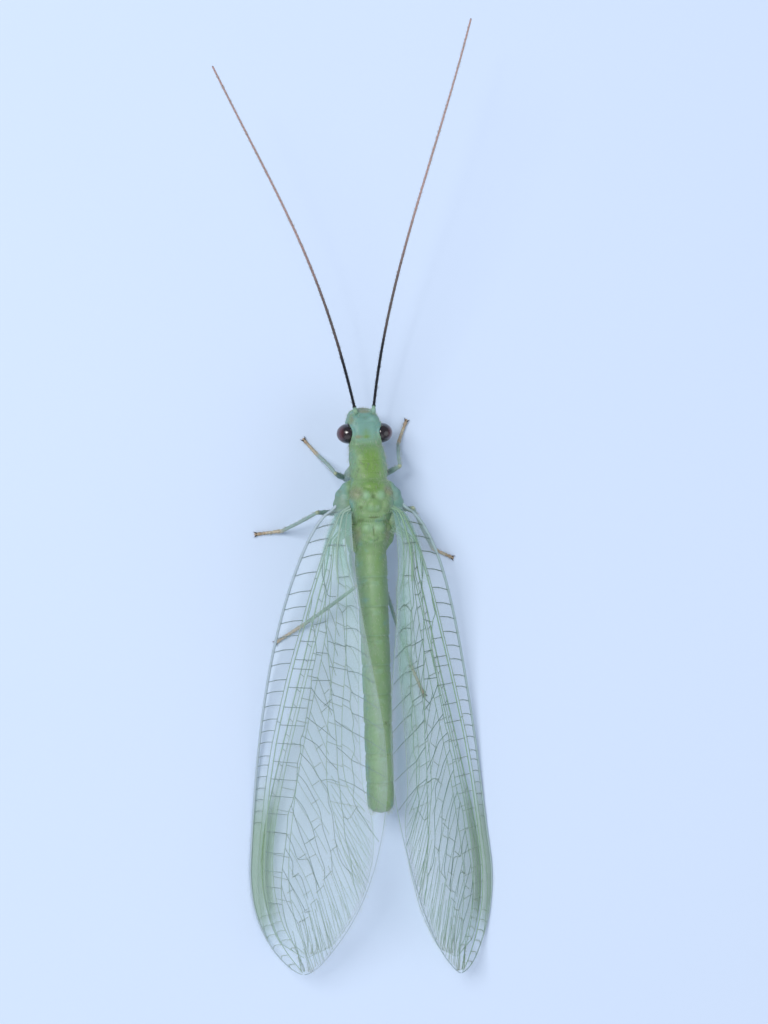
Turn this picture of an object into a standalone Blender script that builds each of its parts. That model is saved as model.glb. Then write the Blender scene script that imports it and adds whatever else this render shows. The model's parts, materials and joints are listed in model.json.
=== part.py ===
"""A green lacewing at rest, life size, its wings folded like a roof over the body.

Lengths in the tables are millimetres in the insect's own frame: +Y towards the head, +X to its right,
+Z up, the floor at Z = 0 and the middle of the body at X = 0.
"""
import math

import bmesh
import bpy
from mathutils import Matrix, Vector

MM = 0.001

# Driving dimensions
MIDLINE_X = 0.45        # the body stands beside the middle of its box, as the left feeler reaches further out
MIDDLE_Y = 0.38
GAP = 0.03              # clear space between neighbouring pieces
FEELER_THICK = 0.53
LEG_THICK = 0.53
LEG_JOINT_THICK = 0.42  # a leg is narrower where two of its lengths meet
WING_THICK = 0.5
FOREWING_LEAD = 2.79    # widest reach from the wing's long axis to its front edge
FOREWING_TRAIL = 2.76   # and to its rear edge
HINDWING_DROP = 0.54    # from the middle of the forewing's thickness to the middle of the hindwing's
WING_ROOT = (1.0, -0.45)        # where the long axis starts, x outwards and y
WING_TIP = {"left": (2.56, -15.86), "right": (2.80, -16.12)}
EXTRA_PITCH = {"left": 1.0, "right": 2.7}
HINDWING_SPAN = (0.06, 0.965)   # where the hindwing begins and ends along the forewing's axis

# The planes across the body that part its lengths
NECK_Y = 1.73
PROTHORAX_END_Y = 0.59
MESOTHORAX_END_Y = -0.84
WAIST_Y = -1.67
ABDOMEN_SPLITS_Y = (-4.6, -7.5)
ABDOMEN_END_Y = -10.45
ABDOMEN_SEGMENTS = 9
ABDOMEN_SWAY = 0.15     # how far to the insect's right the tail end stands

ROUND = 16              # sides of a body ring
MOUTH_ROUND = 12
LIMB_SIDES = 8
SHARP_ANGLE = math.radians(50)

# Colours: base colour, roughness
FINISHES = {
    "head_green": ((0.28, 0.52, 0.40), 0.4),
    "body_green": ((0.25, 0.45, 0.12), 0.45),
    "abdomen_green": ((0.30, 0.42, 0.11), 0.5),
    "leg_green": ((0.42, 0.58, 0.46), 0.45),
    "tarsus_amber": ((0.55, 0.36, 0.12), 0.5),
    "eye_wine": ((0.06, 0.012, 0.018), 0.12),
    "mouth_amber": ((0.45, 0.33, 0.16), 0.45),
    "feeler_black": ((0.012, 0.012, 0.015), 0.4),
    "feeler_amber": ((0.30, 0.16, 0.08), 0.5),
    "wing_clear": ((0.62, 0.78, 0.70), 0.2),
}


def make_material(name):
    """A plain finish from the table above."""
    colour, roughness = FINISHES[name]
    material = bpy.data.materials.new(name)
    material.use_nodes = True
    shader = material.node_tree.nodes["Principled BSDF"]
    shader.inputs["Base Color"].default_value = (*colour, 1.0)
    shader.inputs["Roughness"].default_value = roughness
    shader.inputs["Metallic"].default_value = 0.0
    return material


def read_curve(stations, at):
    """The smooth value at one place, through stations given as (place, value, ...) in rising order."""
    places = [s[0] for s in stations]
    at = min(max(at, places[0]), places[-1])
    i = max(k for k in range(len(places) - 1) if places[k] <= at)
    span = places[i + 1] - places[i]
    u = (at - places[i]) / span

    def slope(k, column):
        low, high = max(k - 1, 0), min(k + 1, len(stations) - 1)
        return (stations[high][column] - stations[low][column]) / (places[high] - places[low])

    values = []
    for column in range(1, len(stations[0])):
        a, b = stations[i][column], stations[i + 1][column]
        m, n = slope(i, column) * span, slope(i + 1, column) * span
        h = (2 * u ** 3 - 3 * u ** 2 + 1) * a + (u ** 3 - 2 * u ** 2 + u) * m
        values.append(h + (3 * u ** 2 - 2 * u ** 3) * b + (u ** 3 - u ** 2) * n)
    return values


def add_solid(name, verts, faces, finish, insect, materials, pivot=None):
    """One closed piece from points in millimetres, with its origin at its pivot."""
    pivot = Vector(pivot) if pivot is not None else sum((Vector(v) for v in verts), Vector()) / len(verts)
    mesh = bpy.data.meshes.new(name)
    mesh.from_pydata([(Vector(v) - pivot) * MM for v in verts], [], faces)
    tidy = bmesh.new()
    tidy.from_mesh(mesh)
    bmesh.ops.recalc_face_normals(tidy, faces=tidy.faces)
    tidy.to_mesh(mesh)
    tidy.free()
    mesh.shade_smooth()
    mesh.set_sharp_from_angle(angle=SHARP_ANGLE)
    mesh.materials.append(materials[finish])
    piece = bpy.data.objects.new(name, mesh)
    piece.location = pivot * MM
    piece.parent = insect
    bpy.context.collection.objects.link(piece)
    return piece


def loft(rings, start_cap=None, end_cap=None):
    """Skin a row of equal rings and close both ends, each at a point or, with no point, at its middle."""
    count = len(rings[0])
    verts = [p for ring in rings for p in ring]
    faces = []
    for r in range(len(rings) - 1):
        for s in range(count):
            n = (s + 1) % count
            faces.append((r * count + s, r * count + n, (r + 1) * count + n, (r + 1) * count + s))
    for ring, cap, first in ((rings[0], start_cap, 0), (rings[-1], end_cap, (len(rings) - 1) * count)):
        point = Vector(cap) if cap is not None else sum((Vector(p) for p in ring), Vector()) / count
        verts.append(point)
        hub = len(verts) - 1
        faces += [(first + s, first + (s + 1) % count, hub) for s in range(count)]
    return verts, faces


def body_ring(y, half_width, half_height, centre_z, square=2.0, keel=0.0, sides=ROUND, sway=0.0):
    """A ring across the body: rounder or squarer by its power, and with its top drawn to a low keel."""
    ring = []
    for s in range(sides):
        a = 2 * math.pi * s / sides
        c, d = math.cos(a), math.sin(a)
        x = half_width * math.copysign(abs(c) ** (2 / square), c)
        z = half_height * math.copysign(abs(d) ** (2 / square), d)
        if d > 0:
            x *= 1 - keel * d
        ring.append(Vector((x + sway, y, centre_z + z)))
    return ring


# Body tables: y, half width, half height, middle height, power, keel
HEAD = (
    (1.72, 0.44, 0.36, 1.92, 2.2, 0.0),
    (1.92, 0.52, 0.56, 1.80, 2.4, 0.0),
    (2.15, 0.55, 0.70, 1.68, 2.6, 0.0),
    (2.45, 0.54, 0.76, 1.60, 2.6, 0.0),
    (2.70, 0.49, 0.74, 1.54, 2.4, 0.0),
    (2.87, 0.42, 0.60, 1.50, 2.2, 0.0),
    (2.97, 0.28, 0.36, 1.46, 2.0, 0.0),
)
FACE_POINT = (0.0, 3.03, 1.44)  # the foremost point of the face
PROTHORAX = (
    (0.50, 0.62, 0.50, 2.26, 2.2, 0.10),
    (0.75, 0.65, 0.48, 2.27, 2.3, 0.10),
    (1.10, 0.62, 0.42, 2.27, 2.4, 0.06),
    (1.40, 0.59, 0.39, 2.22, 2.4, 0.04),
    (1.60, 0.56, 0.38, 2.14, 2.3, 0.02),
    (1.80, 0.50, 0.35, 2.04, 2.2, 0.00),
)
MESOTHORAX = (
    (-0.90, 0.66, 0.82, 2.10, 2.1, 0.12),
    (-0.62, 0.84, 0.94, 2.12, 2.1, 0.14),
    (-0.25, 0.94, 0.99, 2.13, 2.1, 0.12),
    (0.10, 0.90, 0.93, 2.16, 2.1, 0.10),
    (0.38, 0.77, 0.76, 2.21, 2.1, 0.10),
    (0.62, 0.62, 0.58, 2.25, 2.1, 0.10),
)
METATHORAX = (
    (-1.70, 0.52, 0.62, 2.18, 2.1, 0.10),
    (-1.45, 0.68, 0.76, 2.14, 2.1, 0.10),
    (-1.15, 0.80, 0.86, 2.09, 2.1, 0.12),
    (-0.80, 0.76, 0.84, 2.08, 2.1, 0.12),
)
ABDOMEN = (
    (-10.45, 0.20, 0.24, 1.92, 2.0, 0.00),
    (-10.30, 0.34, 0.40, 1.94, 2.0, 0.00),
    (-9.95, 0.43, 0.48, 1.96, 2.1, 0.00),
    (-9.30, 0.47, 0.51, 1.98, 2.1, 0.00),
    (-7.50, 0.48, 0.52, 2.04, 2.1, 0.04),
    (-5.00, 0.49, 0.54, 2.12, 2.1, 0.06),
    (-3.20, 0.50, 0.55, 2.18, 2.1, 0.08),
    (-2.20, 0.49, 0.52, 2.20, 2.1, 0.08),
    (-1.66, 0.45, 0.48, 2.20, 2.1, 0.08),
)
TAIL_POINT = (ABDOMEN_SWAY, ABDOMEN_END_Y - 0.06, 1.96)
GROOVE_DEPTH = 0.07             # how far a seam between segments is drawn in, as a share of the width

# Eyes: middle and radii of the right one
EYE_CENTRE = (0.53, 2.15, 1.90)
EYE_RADII = (0.39, 0.34, 0.40)

# Mouthparts, upwards: height, half width, half length, middle y, power
MOUTHPARTS = (
    (0.52, 0.16, 0.16, 2.42, 2.2),
    (0.62, 0.26, 0.26, 2.44, 2.4),
    (0.80, 0.31, 0.33, 2.46, 2.5),
    (1.02, 0.34, 0.36, 2.48, 2.5),
)


def even_places(low, high, steps):
    return [low + (high - low) * k / steps for k in range(steps + 1)]


def body_rings(table, places, grooves=None):
    """The rings of one length of the body, drawn in at its grooves."""
    rings = []
    for y in places:
        half_width, half_height, centre_z, square, keel = read_curve(table, y)
        pinch = grooves(y) if grooves else 1.0
        ring = body_ring(y, half_width * pinch, half_height * pinch, centre_z, square, keel, sway=sway_at(y))
        rings.append(ring)
    return rings


def sway_at(y):
    """How far the abdomen's middle stands to the right: nothing at the waist, most at the tail."""
    along = max(WAIST_Y - y, 0.0) / (WAIST_Y - ABDOMEN_END_Y)
    return ABDOMEN_SWAY * min(along, 1.0)


def abdomen_groove(y):
    """The segments are waisted a little where they meet."""
    along = (WAIST_Y - y) / (WAIST_Y - ABDOMEN_END_Y) * ABDOMEN_SEGMENTS
    return 1 - GROOVE_DEPTH * abs(math.cos(math.pi * along)) ** 6


def abdomen_places(low, high):
    """Ring places: each seam and two more in each segment, with the cut ends."""
    step = (WAIST_Y - ABDOMEN_END_Y) / ABDOMEN_SEGMENTS / 3
    inner = [WAIST_Y - step * k for k in range(ABDOMEN_SEGMENTS * 3 + 1)]
    inside = sorted(y for y in inner if low + step * 0.4 < y < high - step * 0.4)
    return [low, *inside, high]


def ellipsoid(centre, radii, rings=8, sides=14):
    """A closed ball with its poles along X."""
    centre = Vector(centre)
    loops = []
    for r in range(1, rings):
        a = math.pi * r / rings
        loops.append([
            centre + Vector((
                -radii[0] * math.cos(a),
                radii[1] * math.sin(a) * math.cos(2 * math.pi * s / sides),
                radii[2] * math.sin(a) * math.sin(2 * math.pi * s / sides),
            ))
            for s in range(sides)
        ])
    return loft(loops, centre - Vector((radii[0], 0, 0)), centre + Vector((radii[0], 0, 0)))


def cross_frame(direction):
    """Two unit directions across a limb, the second one up."""
    across = direction.cross(Vector((0, 0, 1)))
    if across.length < 1e-4:
        across = Vector((1, 0, 0))
    across.normalize()
    return across, across.cross(direction).normalized()


def to_floor(point, pressed=0.0):
    """Nothing goes below the floor, so what rests on it has a small flat."""
    return Vector((point.x, point.y, point.z if point.z > pressed else 0.0))


def limb_piece(start, end, grow=0.0):
    """One length of a leg: flat at its start, fuller along its middle and a ball at its end."""
    direction = (end - start).normalized()
    across, up = cross_frame(direction)
    joint_radius = LEG_JOINT_THICK / 2 + grow

    def ring(middle, radius):
        angles = (2 * math.pi * (s + 0.5) / LIMB_SIDES for s in range(LIMB_SIDES))
        return [to_floor(middle + (across * math.cos(a) + up * math.sin(a)) * radius) for a in angles]

    rings = [ring(start - direction * grow, joint_radius)]
    rings += [ring(start.lerp(end, share), LEG_THICK / 2 + grow) for share in BELLY_SHARES]
    rings.append(ring(end, joint_radius))
    ball_end = end + direction * joint_radius * math.sin(BALL_TURN)
    rings.append(ring(ball_end, joint_radius * math.cos(BALL_TURN)))
    return loft(rings, None, to_floor(end + direction * joint_radius))


# Legs: where coxa, femur, tibia and tarsus meet, from the body to the claws, for the left and right side
LEGS = {
    "foreleg": {
        "left": ((0.32, 0.95, 1.95), (0.52, 0.66, 1.12), (1.00, 0.84, 1.84), (1.33, 1.50, 0.38),
                 (1.74, 2.02, 0.15)),
        "right": ((0.32, 0.95, 1.95), (0.52, 0.66, 1.12), (1.20, 1.02, 1.80), (1.45, 1.80, 0.38),
                  (1.78, 2.56, 0.15)),
    },
    "midleg": {
        "left": ((0.42, -0.30, 1.40), (0.66, -0.48, 0.86), (1.67, -0.44, 1.90), (2.64, -1.02, 0.38),
                 (3.48, -1.10, 0.15)),
        "right": ((0.42, -0.30, 1.40), (0.66, -0.48, 0.86), (1.58, -0.40, 1.90), (2.52, -1.80, 0.38),
                  (3.20, -2.12, 0.15)),
    },
    "hindleg": {
        "left": ((0.36, -1.25, 1.48), (0.42, -1.66, 0.92), (0.30, -2.95, 1.18), (2.10, -4.26, 0.38),
                 (2.94, -4.78, 0.15)),
        "right": ((0.36, -1.25, 1.48), (0.42, -1.66, 0.92), (0.66, -3.05, 1.24), (1.63, -5.75, 0.38),
                  (2.08, -6.78, 0.15)),
    },
}
LEG_PARTS = ("coxa", "femur", "tibia", "tarsus")
BELLY_SHARES = (0.4, 0.65)      # between these shares of a leg's length it keeps its full thickness
BALL_TURN = math.radians(37)    # where the ring that rounds off a leg's end stands on its ball
LEG_FINISH = {"coxa": "leg_green", "femur": "leg_green", "tibia": "leg_green", "tarsus": "tarsus_amber"}
SIDES = {"left": -1, "right": 1}

# Feelers: the four points of one smooth curve for each side, x outwards
FEELERS = {
    "left": ((0.28, 2.80, 2.10), (1.74, 7.60, 5.10), (3.16, 9.35, 6.30), (5.28, 13.67, 7.00)),
    "right": ((0.30, 2.80, 2.10), (0.60, 7.30, 3.86), (2.07, 10.67, 5.02), (3.42, 15.40, 5.30)),
}
FEELER_CUTS = {"scape": (0.0, 0.035), "base": (0.035, 0.45), "end": (0.45, 1.0)}
FEELER_STEPS = {"scape": 2, "base": 9, "end": 11}
FEELER_FINISH = {"scape": "leg_green", "base": "feeler_black", "end": "feeler_amber"}
FEELER_TIP = 0.7                # the last ring's radius beside the rest


def bezier(points, u):
    a, b, c, d = points
    v = 1 - u
    return a * v ** 3 + b * 3 * v ** 2 * u + c * 3 * v * u ** 2 + d * u ** 3


def bezier_heading(points, u):
    a, b, c, d = points
    v = 1 - u
    return ((b - a) * v ** 2 + (c - b) * 2 * v * u + (d - c) * u ** 2).normalized()


def feeler_piece(points, cut, steps, radius, rounded):
    """One length of a feeler, as a tube along its curve."""
    low, high = cut
    length = (points[3] - points[0]).length
    low += GAP / 2 / length if low > 0 else 0.0
    high -= GAP / 2 / length if high < 1 else 0.0
    rings = []
    for k in range(steps + 1):
        u = low + (high - low) * k / steps
        middle, heading = bezier(points, u), bezier_heading(points, u)
        across, up = cross_frame(heading)
        size = radius * (FEELER_TIP if rounded and k == steps else 1.0)
        rings.append([
            middle + (across * math.cos(a) + up * math.sin(a)) * size
            for a in (2 * math.pi * (s + 0.5) / LIMB_SIDES for s in range(LIMB_SIDES))
        ])
    cap = bezier(points, high) + bezier_heading(points, high) * radius * (1 - FEELER_TIP)
    return loft(rings, None, cap if rounded else None)


# Wings, along the span from root to tip: height of the front edge, and pitch of the chord in degrees
FRONT_EDGE_HEIGHT = (
    (0.0, 2.45), (0.1, 2.05), (0.2, 1.45), (0.35, 0.72), (0.55, 0.22), (0.7, 0.04), (0.85, 0.04),
    (0.94, 0.34), (1.0, 1.2),
)
CHORD_PITCH = ((0.0, 32.0), (0.2, 38.5), (0.5, 43.5), (0.75, 46.5), (1.0, 45.0))
CAMBER = 0.16           # how far the middle of the wing is bowed outwards
CAMBER_GROWTH = (1.2, 0.7)      # how soon along the span the bow is full, and how fast it swells
LEAD_PEAK = 0.75        # where along the span the front edge stands furthest from the axis
TRAIL_PEAK = 0.625
LEAD_POWERS = (0.64, 0.68)      # how fast the edge leaves the axis at the root and meets it at the tip
TRAIL_POWERS = (1.5, 0.73)
ROOT_SHARE = 0.14
TIP_EASE = 1.35         # crowds the sections towards the tip
LAST_SECTION = 0.988    # the last section's share of the span, before the point of the tip
FRONT_RIM = 0.55        # how thick the edges are beside the middle
REAR_RIM = 0.3
PRESSED = 0.1           # a wing's edge lower than this lies flat on the floor
FOREWING_GRID = (20, 8)         # strips along the span and across it
HINDWING_GRID = (18, 6)


def edge_shape(u, peak, powers):
    """An edge's reach, as a share of its widest: it swells from the root and rounds off to the tip."""
    if u < peak:
        return ROOT_SHARE + (1 - ROOT_SHARE) * math.sin(math.pi / 2 * (max(u, 0.0) / peak) ** powers[0])
    x = (u - peak) / (1 - peak)
    return max(1 - x * x, 0.0) ** powers[1]


# The hindwing, along its own span: reach of its front edge and of its rear edge from the same axis
HINDWING_EDGES = (
    (0.0, 0.30, 0.12),
    (0.12, 0.70, 0.26),
    (0.28, 1.10, 0.40),
    (0.42, 1.50, 0.72),
    (0.58, 1.86, 1.46),
    (0.66, 2.08, 1.92),
    (0.74, 2.16, 2.00),
    (0.82, 2.04, 1.84),
    (0.88, 1.80, 1.52),
    (0.96, 1.18, 0.82),
    (1.0, 0.52, 0.18),
)


def forewing_edges(u):
    lead = FOREWING_LEAD * edge_shape(u, LEAD_PEAK, LEAD_POWERS)
    return lead, FOREWING_TRAIL * edge_shape(u, TRAIL_PEAK, TRAIL_POWERS)


def hindwing_edges(share):
    return read_curve(HINDWING_EDGES, share)


def wing_point(side, u, reach, layer):
    """A place on a wing: u along the span, reach from the axis towards the rear edge, layer outwards."""
    pitch = math.radians(read_curve(CHORD_PITCH, u)[0] + EXTRA_PITCH[side])
    tip = WING_TIP[side]
    swell = min(max(u, 0.0) * CAMBER_GROWTH[0], 1.0) ** CAMBER_GROWTH[1]
    bow = CAMBER * (1 - (reach / FOREWING_LEAD) ** 2) * math.sin(math.pi * swell)
    rise = reach + forewing_edges(u)[0]
    x = WING_ROOT[0] + (tip[0] - WING_ROOT[0]) * u - reach * math.cos(pitch) + (bow + layer) * math.sin(pitch)
    y = WING_ROOT[1] + (tip[1] - WING_ROOT[1]) * u
    z = read_curve(FRONT_EDGE_HEIGHT, u)[0] + rise * math.sin(pitch) + (bow + layer) * math.cos(pitch)
    return Vector((x * SIDES[side], y, z))


def wing_solid(side, edges, layer, span, columns, rows, grow=0.0):
    """A curved plate with rounded edges. Each ring runs round one section across the span."""
    low, high = span
    low -= grow / (WING_ROOT[1] - WING_TIP[side][1])
    rings = []
    for k in range(columns + 1):
        share = LAST_SECTION * (1 - (1 - k / columns) ** TIP_EASE)
        u = low + (high - low) * share
        lead, trail = edges(share)
        front, back = -lead - grow, trail + grow
        half = WING_THICK / 2 + grow
        over, under = [], []
        for r in range(rows + 1):
            reach = front + (back - front) * r / rows
            rim = {0: FRONT_RIM, rows: REAR_RIM}.get(r, 1.0)
            over.append(wing_point(side, u, reach, layer + half * rim))
            under.append(wing_point(side, u, reach, layer - half * rim))
        rings.append([to_floor(p, PRESSED) for p in over + under[::-1]])
    lead, trail = edges(1.0)
    return loft(rings, None, wing_point(side, high, (trail - lead) / 2, layer))


def hide_cutter(piece):
    """A cutter is not part of the object."""
    piece.hide_render = True
    piece.display_type = "WIRE"


def cut(piece, cutter):
    """Take the cutter's room out of a piece."""
    notch = piece.modifiers.new(f"room_for_{cutter.name}", "BOOLEAN")
    notch.operation = "DIFFERENCE"
    notch.solver = "EXACT"
    notch.object = cutter


def build_body(insect, materials):
    """Head, thorax and abdomen, each length in its own piece."""
    pieces = {}
    rings = body_rings(HEAD, even_places(NECK_Y + GAP / 2, HEAD[-1][0], 9))
    pieces["head"] = add_solid("head", *loft(rings, None, FACE_POINT), "head_green", insect, materials)
    for name, table, ends, steps, finish in (
        ("prothorax", PROTHORAX, (PROTHORAX_END_Y, NECK_Y), 6, "body_green"),
        ("mesothorax", MESOTHORAX, (MESOTHORAX_END_Y, PROTHORAX_END_Y), 8, "body_green"),
        ("metathorax", METATHORAX, (WAIST_Y, MESOTHORAX_END_Y), 5, "body_green"),
    ):
        rings = body_rings(table, even_places(ends[0] + GAP / 2, ends[1] - GAP / 2, steps))
        pieces[name] = add_solid(name, *loft(rings), finish, insect, materials)
    cuts = [WAIST_Y, *ABDOMEN_SPLITS_Y, ABDOMEN_END_Y]
    for name, high, low in zip(("abdomen_front", "abdomen_middle", "abdomen_rear"), cuts, cuts[1:]):
        end = low == ABDOMEN_END_Y
        places = abdomen_places(low if end else low + GAP / 2, high - GAP / 2)
        rings = body_rings(ABDOMEN, places, abdomen_groove)
        shape = loft(rings, TAIL_POINT if end else None)
        pieces[name] = add_solid(name, *shape, "abdomen_green", insect, materials)
    return pieces


def mouth_loft(grow=0.0):
    """The mouthparts are lofted upwards, so their rings are turned from across the body to level."""
    rings = []
    for height, half_width, half_length, centre_y, square in MOUTHPARTS:
        flat = body_ring(0.0, half_width + grow, half_length + grow, 0.0, square, 0.0, MOUTH_ROUND)
        lift = grow if height == MOUTHPARTS[-1][0] else 0.0
        rings.append([Vector((p.x, centre_y + p.z, height + lift)) for p in flat])
    return loft(rings)


def build_face(insect, materials, head):
    """The eyes in their sockets, and the mouthparts below the face."""
    shapes = {}
    for side, sign in SIDES.items():
        centre = (sign * EYE_CENTRE[0], *EYE_CENTRE[1:])
        room = ellipsoid(centre, [r + GAP for r in EYE_RADII])
        shapes[f"eye_{side}"] = (ellipsoid(centre, EYE_RADII), room, "eye_wine")
    shapes["mouthparts"] = (mouth_loft(), mouth_loft(GAP), "mouth_amber")
    for name, (shape, room, finish) in shapes.items():
        add_solid(name, *shape, finish, insect, materials)
        socket = add_solid(f"room_{name}", *room, finish, insect, materials)
        hide_cutter(socket)
        cut(head, socket)


def build_feelers(insect, materials, head):
    """Each feeler is its scape and two lengths of its fine whip, with a socket for it in the head."""
    for side, sign in SIDES.items():
        points = [Vector((sign * x, y, z)) for x, y, z in FEELERS[side]]
        for part, ends in FEELER_CUTS.items():
            name = f"antenna_{side}_{part}"
            tube = feeler_piece(points, ends, FEELER_STEPS[part], FEELER_THICK / 2, part == "end")
            add_solid(name, *tube, FEELER_FINISH[part], insect, materials)
        room = feeler_piece(points, FEELER_CUTS["scape"], 2, FEELER_THICK / 2 + GAP, False)
        heading = bezier_heading(points, 0.0) * GAP
        verts = [v - heading if (v - points[0]).length < FEELER_THICK else v for v in room[0]]
        socket = add_solid(f"room_antenna_{side}", verts, room[1], "feeler_black", insect, materials)
        hide_cutter(socket)
        cut(head, socket)


def build_legs(insect, materials, body):
    """Six legs of four lengths. Each coxa has a socket in the thorax, and each length fits round the last."""
    roots = {"foreleg": ("prothorax", "mesothorax"), "midleg": ("mesothorax",), "hindleg": ("metathorax",)}
    for leg, places in LEGS.items():
        for side, sign in SIDES.items():
            joints = [Vector((sign * x, y, z)) for x, y, z in places[side]]
            room = None
            for part, start, end in zip(LEG_PARTS, joints, joints[1:]):
                name = f"{leg}_{side}_{part}"
                piece = add_solid(name, *limb_piece(start, end), LEG_FINISH[part], insect, materials)
                if room:
                    cut(piece, room)
                if part == LEG_PARTS[-1]:
                    continue
                room = add_solid(f"room_{name}", *limb_piece(start, end, GAP), "leg_green", insect, materials)
                hide_cutter(room)
                if part == LEG_PARTS[0]:
                    for root in roots[leg]:
                        cut(body[root], room)


def build_wings(insect, materials, body):
    """Two pairs of wings, the hindwing under the forewing, with slots for their roots in the thorax."""
    for side in SIDES:
        plans = {
            "forewing": (forewing_edges, 0.0, (0.0, 1.0), *FOREWING_GRID),
            "hindwing": (hindwing_edges, -HINDWING_DROP, HINDWING_SPAN, *HINDWING_GRID),
        }
        for wing, plan in plans.items():
            add_solid(f"{wing}_{side}", *wing_solid(side, *plan), "wing_clear", insect, materials)
            space = wing_solid(side, *plan, GAP)
            room = add_solid(f"room_{wing}_{side}", *space, "wing_clear", insect, materials)
            hide_cutter(room)
            for name in ("mesothorax", "metathorax", "abdomen_front"):
                cut(body[name], room)


def main():
    for old in list(bpy.data.objects):
        bpy.data.objects.remove(old, do_unlink=True)
    materials = {name: make_material(name) for name in FINISHES}
    insect = bpy.data.objects.new("lacewing", None)
    bpy.context.collection.objects.link(insect)
    insect.matrix_world = Matrix.Translation(Vector((MIDLINE_X, MIDDLE_Y, 0.0)) * MM)
    body = build_body(insect, materials)
    build_face(insect, materials, body["head"])
    build_feelers(insect, materials, body["head"])
    build_legs(insect, materials, body)
    build_wings(insect, materials, body)
    bpy.context.view_layer.update()


main()
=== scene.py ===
"""Green lacewing at life size, standing still with its four clear wings laid back along its body."""

import json
import math

import bpy
import bmesh
import numpy as np
from bpy.props import FloatProperty, FloatVectorProperty, IntProperty, PointerProperty
from mathutils import Matrix, Vector
from mathutils.kdtree import KDTree

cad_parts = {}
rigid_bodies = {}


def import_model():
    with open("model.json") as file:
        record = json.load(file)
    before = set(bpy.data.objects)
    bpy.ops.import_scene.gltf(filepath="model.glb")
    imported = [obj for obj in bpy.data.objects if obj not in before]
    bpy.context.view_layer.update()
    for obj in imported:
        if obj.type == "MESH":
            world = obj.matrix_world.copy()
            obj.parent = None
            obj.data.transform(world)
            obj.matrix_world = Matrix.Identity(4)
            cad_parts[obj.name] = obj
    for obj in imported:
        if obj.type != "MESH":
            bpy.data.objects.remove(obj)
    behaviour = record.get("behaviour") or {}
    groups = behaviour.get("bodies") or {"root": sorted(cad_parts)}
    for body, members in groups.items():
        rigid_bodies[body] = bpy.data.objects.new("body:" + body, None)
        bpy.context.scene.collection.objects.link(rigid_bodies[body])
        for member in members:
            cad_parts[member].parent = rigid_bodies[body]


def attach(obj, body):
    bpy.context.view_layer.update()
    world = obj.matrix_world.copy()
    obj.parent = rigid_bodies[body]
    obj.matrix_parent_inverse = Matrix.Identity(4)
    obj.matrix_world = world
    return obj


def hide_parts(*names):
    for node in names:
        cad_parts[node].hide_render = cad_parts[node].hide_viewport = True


for startup in list(bpy.data.objects):
    bpy.data.objects.remove(startup)
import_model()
bpy.context.view_layer.update()

bl_info = {
    "name": "Green lacewing",
    "version": (1, 0, 0),
    "blender": (4, 5, 0),
    "location": "3D View > Sidebar > Lacewing",
    "description": "Makes a life-size green lacewing piece by piece",
    "category": "Add Mesh",
}

MM = 0.001
MIDDLE = np.array([0.45, 0.38, 0.0])    # where the insect's own middle stands, in millimetres
SIDES = {"left": -1, "right": 1}
SEED = 7
FLOOR_CLEAR = 0.012                     # what rests on the floor stays this far above it, in millimetres


def paint(red, green, blue):
    """A colour from its three values on a screen, 0 to 255."""
    return tuple((c / 255 / 12.92) if c <= 10 else ((c / 255 + 0.055) / 1.055) ** 2.4 for c in (red, green, blue))


def colour_property(name, description, screen):
    return FloatVectorProperty(
        name=name, description=description, default=paint(*screen), subtype="COLOR", size=3, min=0, max=1)


def length_property(name, description, millimetres):
    return FloatProperty(
        name=name, description=description, default=millimetres * MM, subtype="DISTANCE", unit="LENGTH",
        min=0, precision=6)


class BodySettings(bpy.types.PropertyGroup):
    """Colours of the head, thorax and abdomen."""
    green: colour_property("Green", "The body's leaf green", (126, 158, 112))
    teal: colour_property("Teal", "The bluer green of the flanks and the crown", (112, 157, 152))
    stripe: colour_property("Stripe", "The yellow-green band down the back", (110, 148, 70))
    pale: colour_property("Pale", "The palest lobes and spots", (138, 176, 142))
    brown: colour_property("Brown", "The brownish-pink patches", (134, 142, 114))
    # Olive colours the dark marks and also the painted shade in the skin's hollows.
    olive: colour_property("Olive", "The dark marks in the grooves", (94, 116, 72))


class EyeSettings(bpy.types.PropertyGroup):
    """The compound eyes."""
    wine: colour_property("Wine", "The dark middle of an eye", (13, 9, 18))
    rim: colour_property("Rim", "The paler brown towards an eye's edge", (88, 42, 48))
    facet_rise: length_property("Facet rise", "How far each facet is domed", 0.0015)


class FeelerSettings(bpy.types.PropertyGroup):
    """The two long feelers."""
    root: colour_property("Root", "The pale first joints", (134, 168, 154))
    dark: colour_property("Dark", "The black first stretch", (6, 10, 24))
    middle: colour_property("Middle", "The grey-brown that follows", (92, 80, 78))
    tip: colour_property("Tip", "The pinkish tan of the outer half", (176, 148, 144))
    thick: length_property("Thickness", "Diameter near the base", 0.098)
    rings: IntProperty(name="Rings", description="Short joints along one feeler", default=96, min=10, max=140)


class LegSettings(bpy.types.PropertyGroup):
    """Legs, feet and claws."""
    green: colour_property("Green", "Thigh and shin", (150, 172, 168))
    amber: colour_property("Amber", "The five joints of a foot", (190, 180, 162))
    claw: colour_property("Claw", "The hooks", (46, 30, 20))
    thigh: length_property("Thigh", "Diameter of a femur", 0.19)
    shin: length_property("Shin", "Diameter of a tibia", 0.12)


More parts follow.
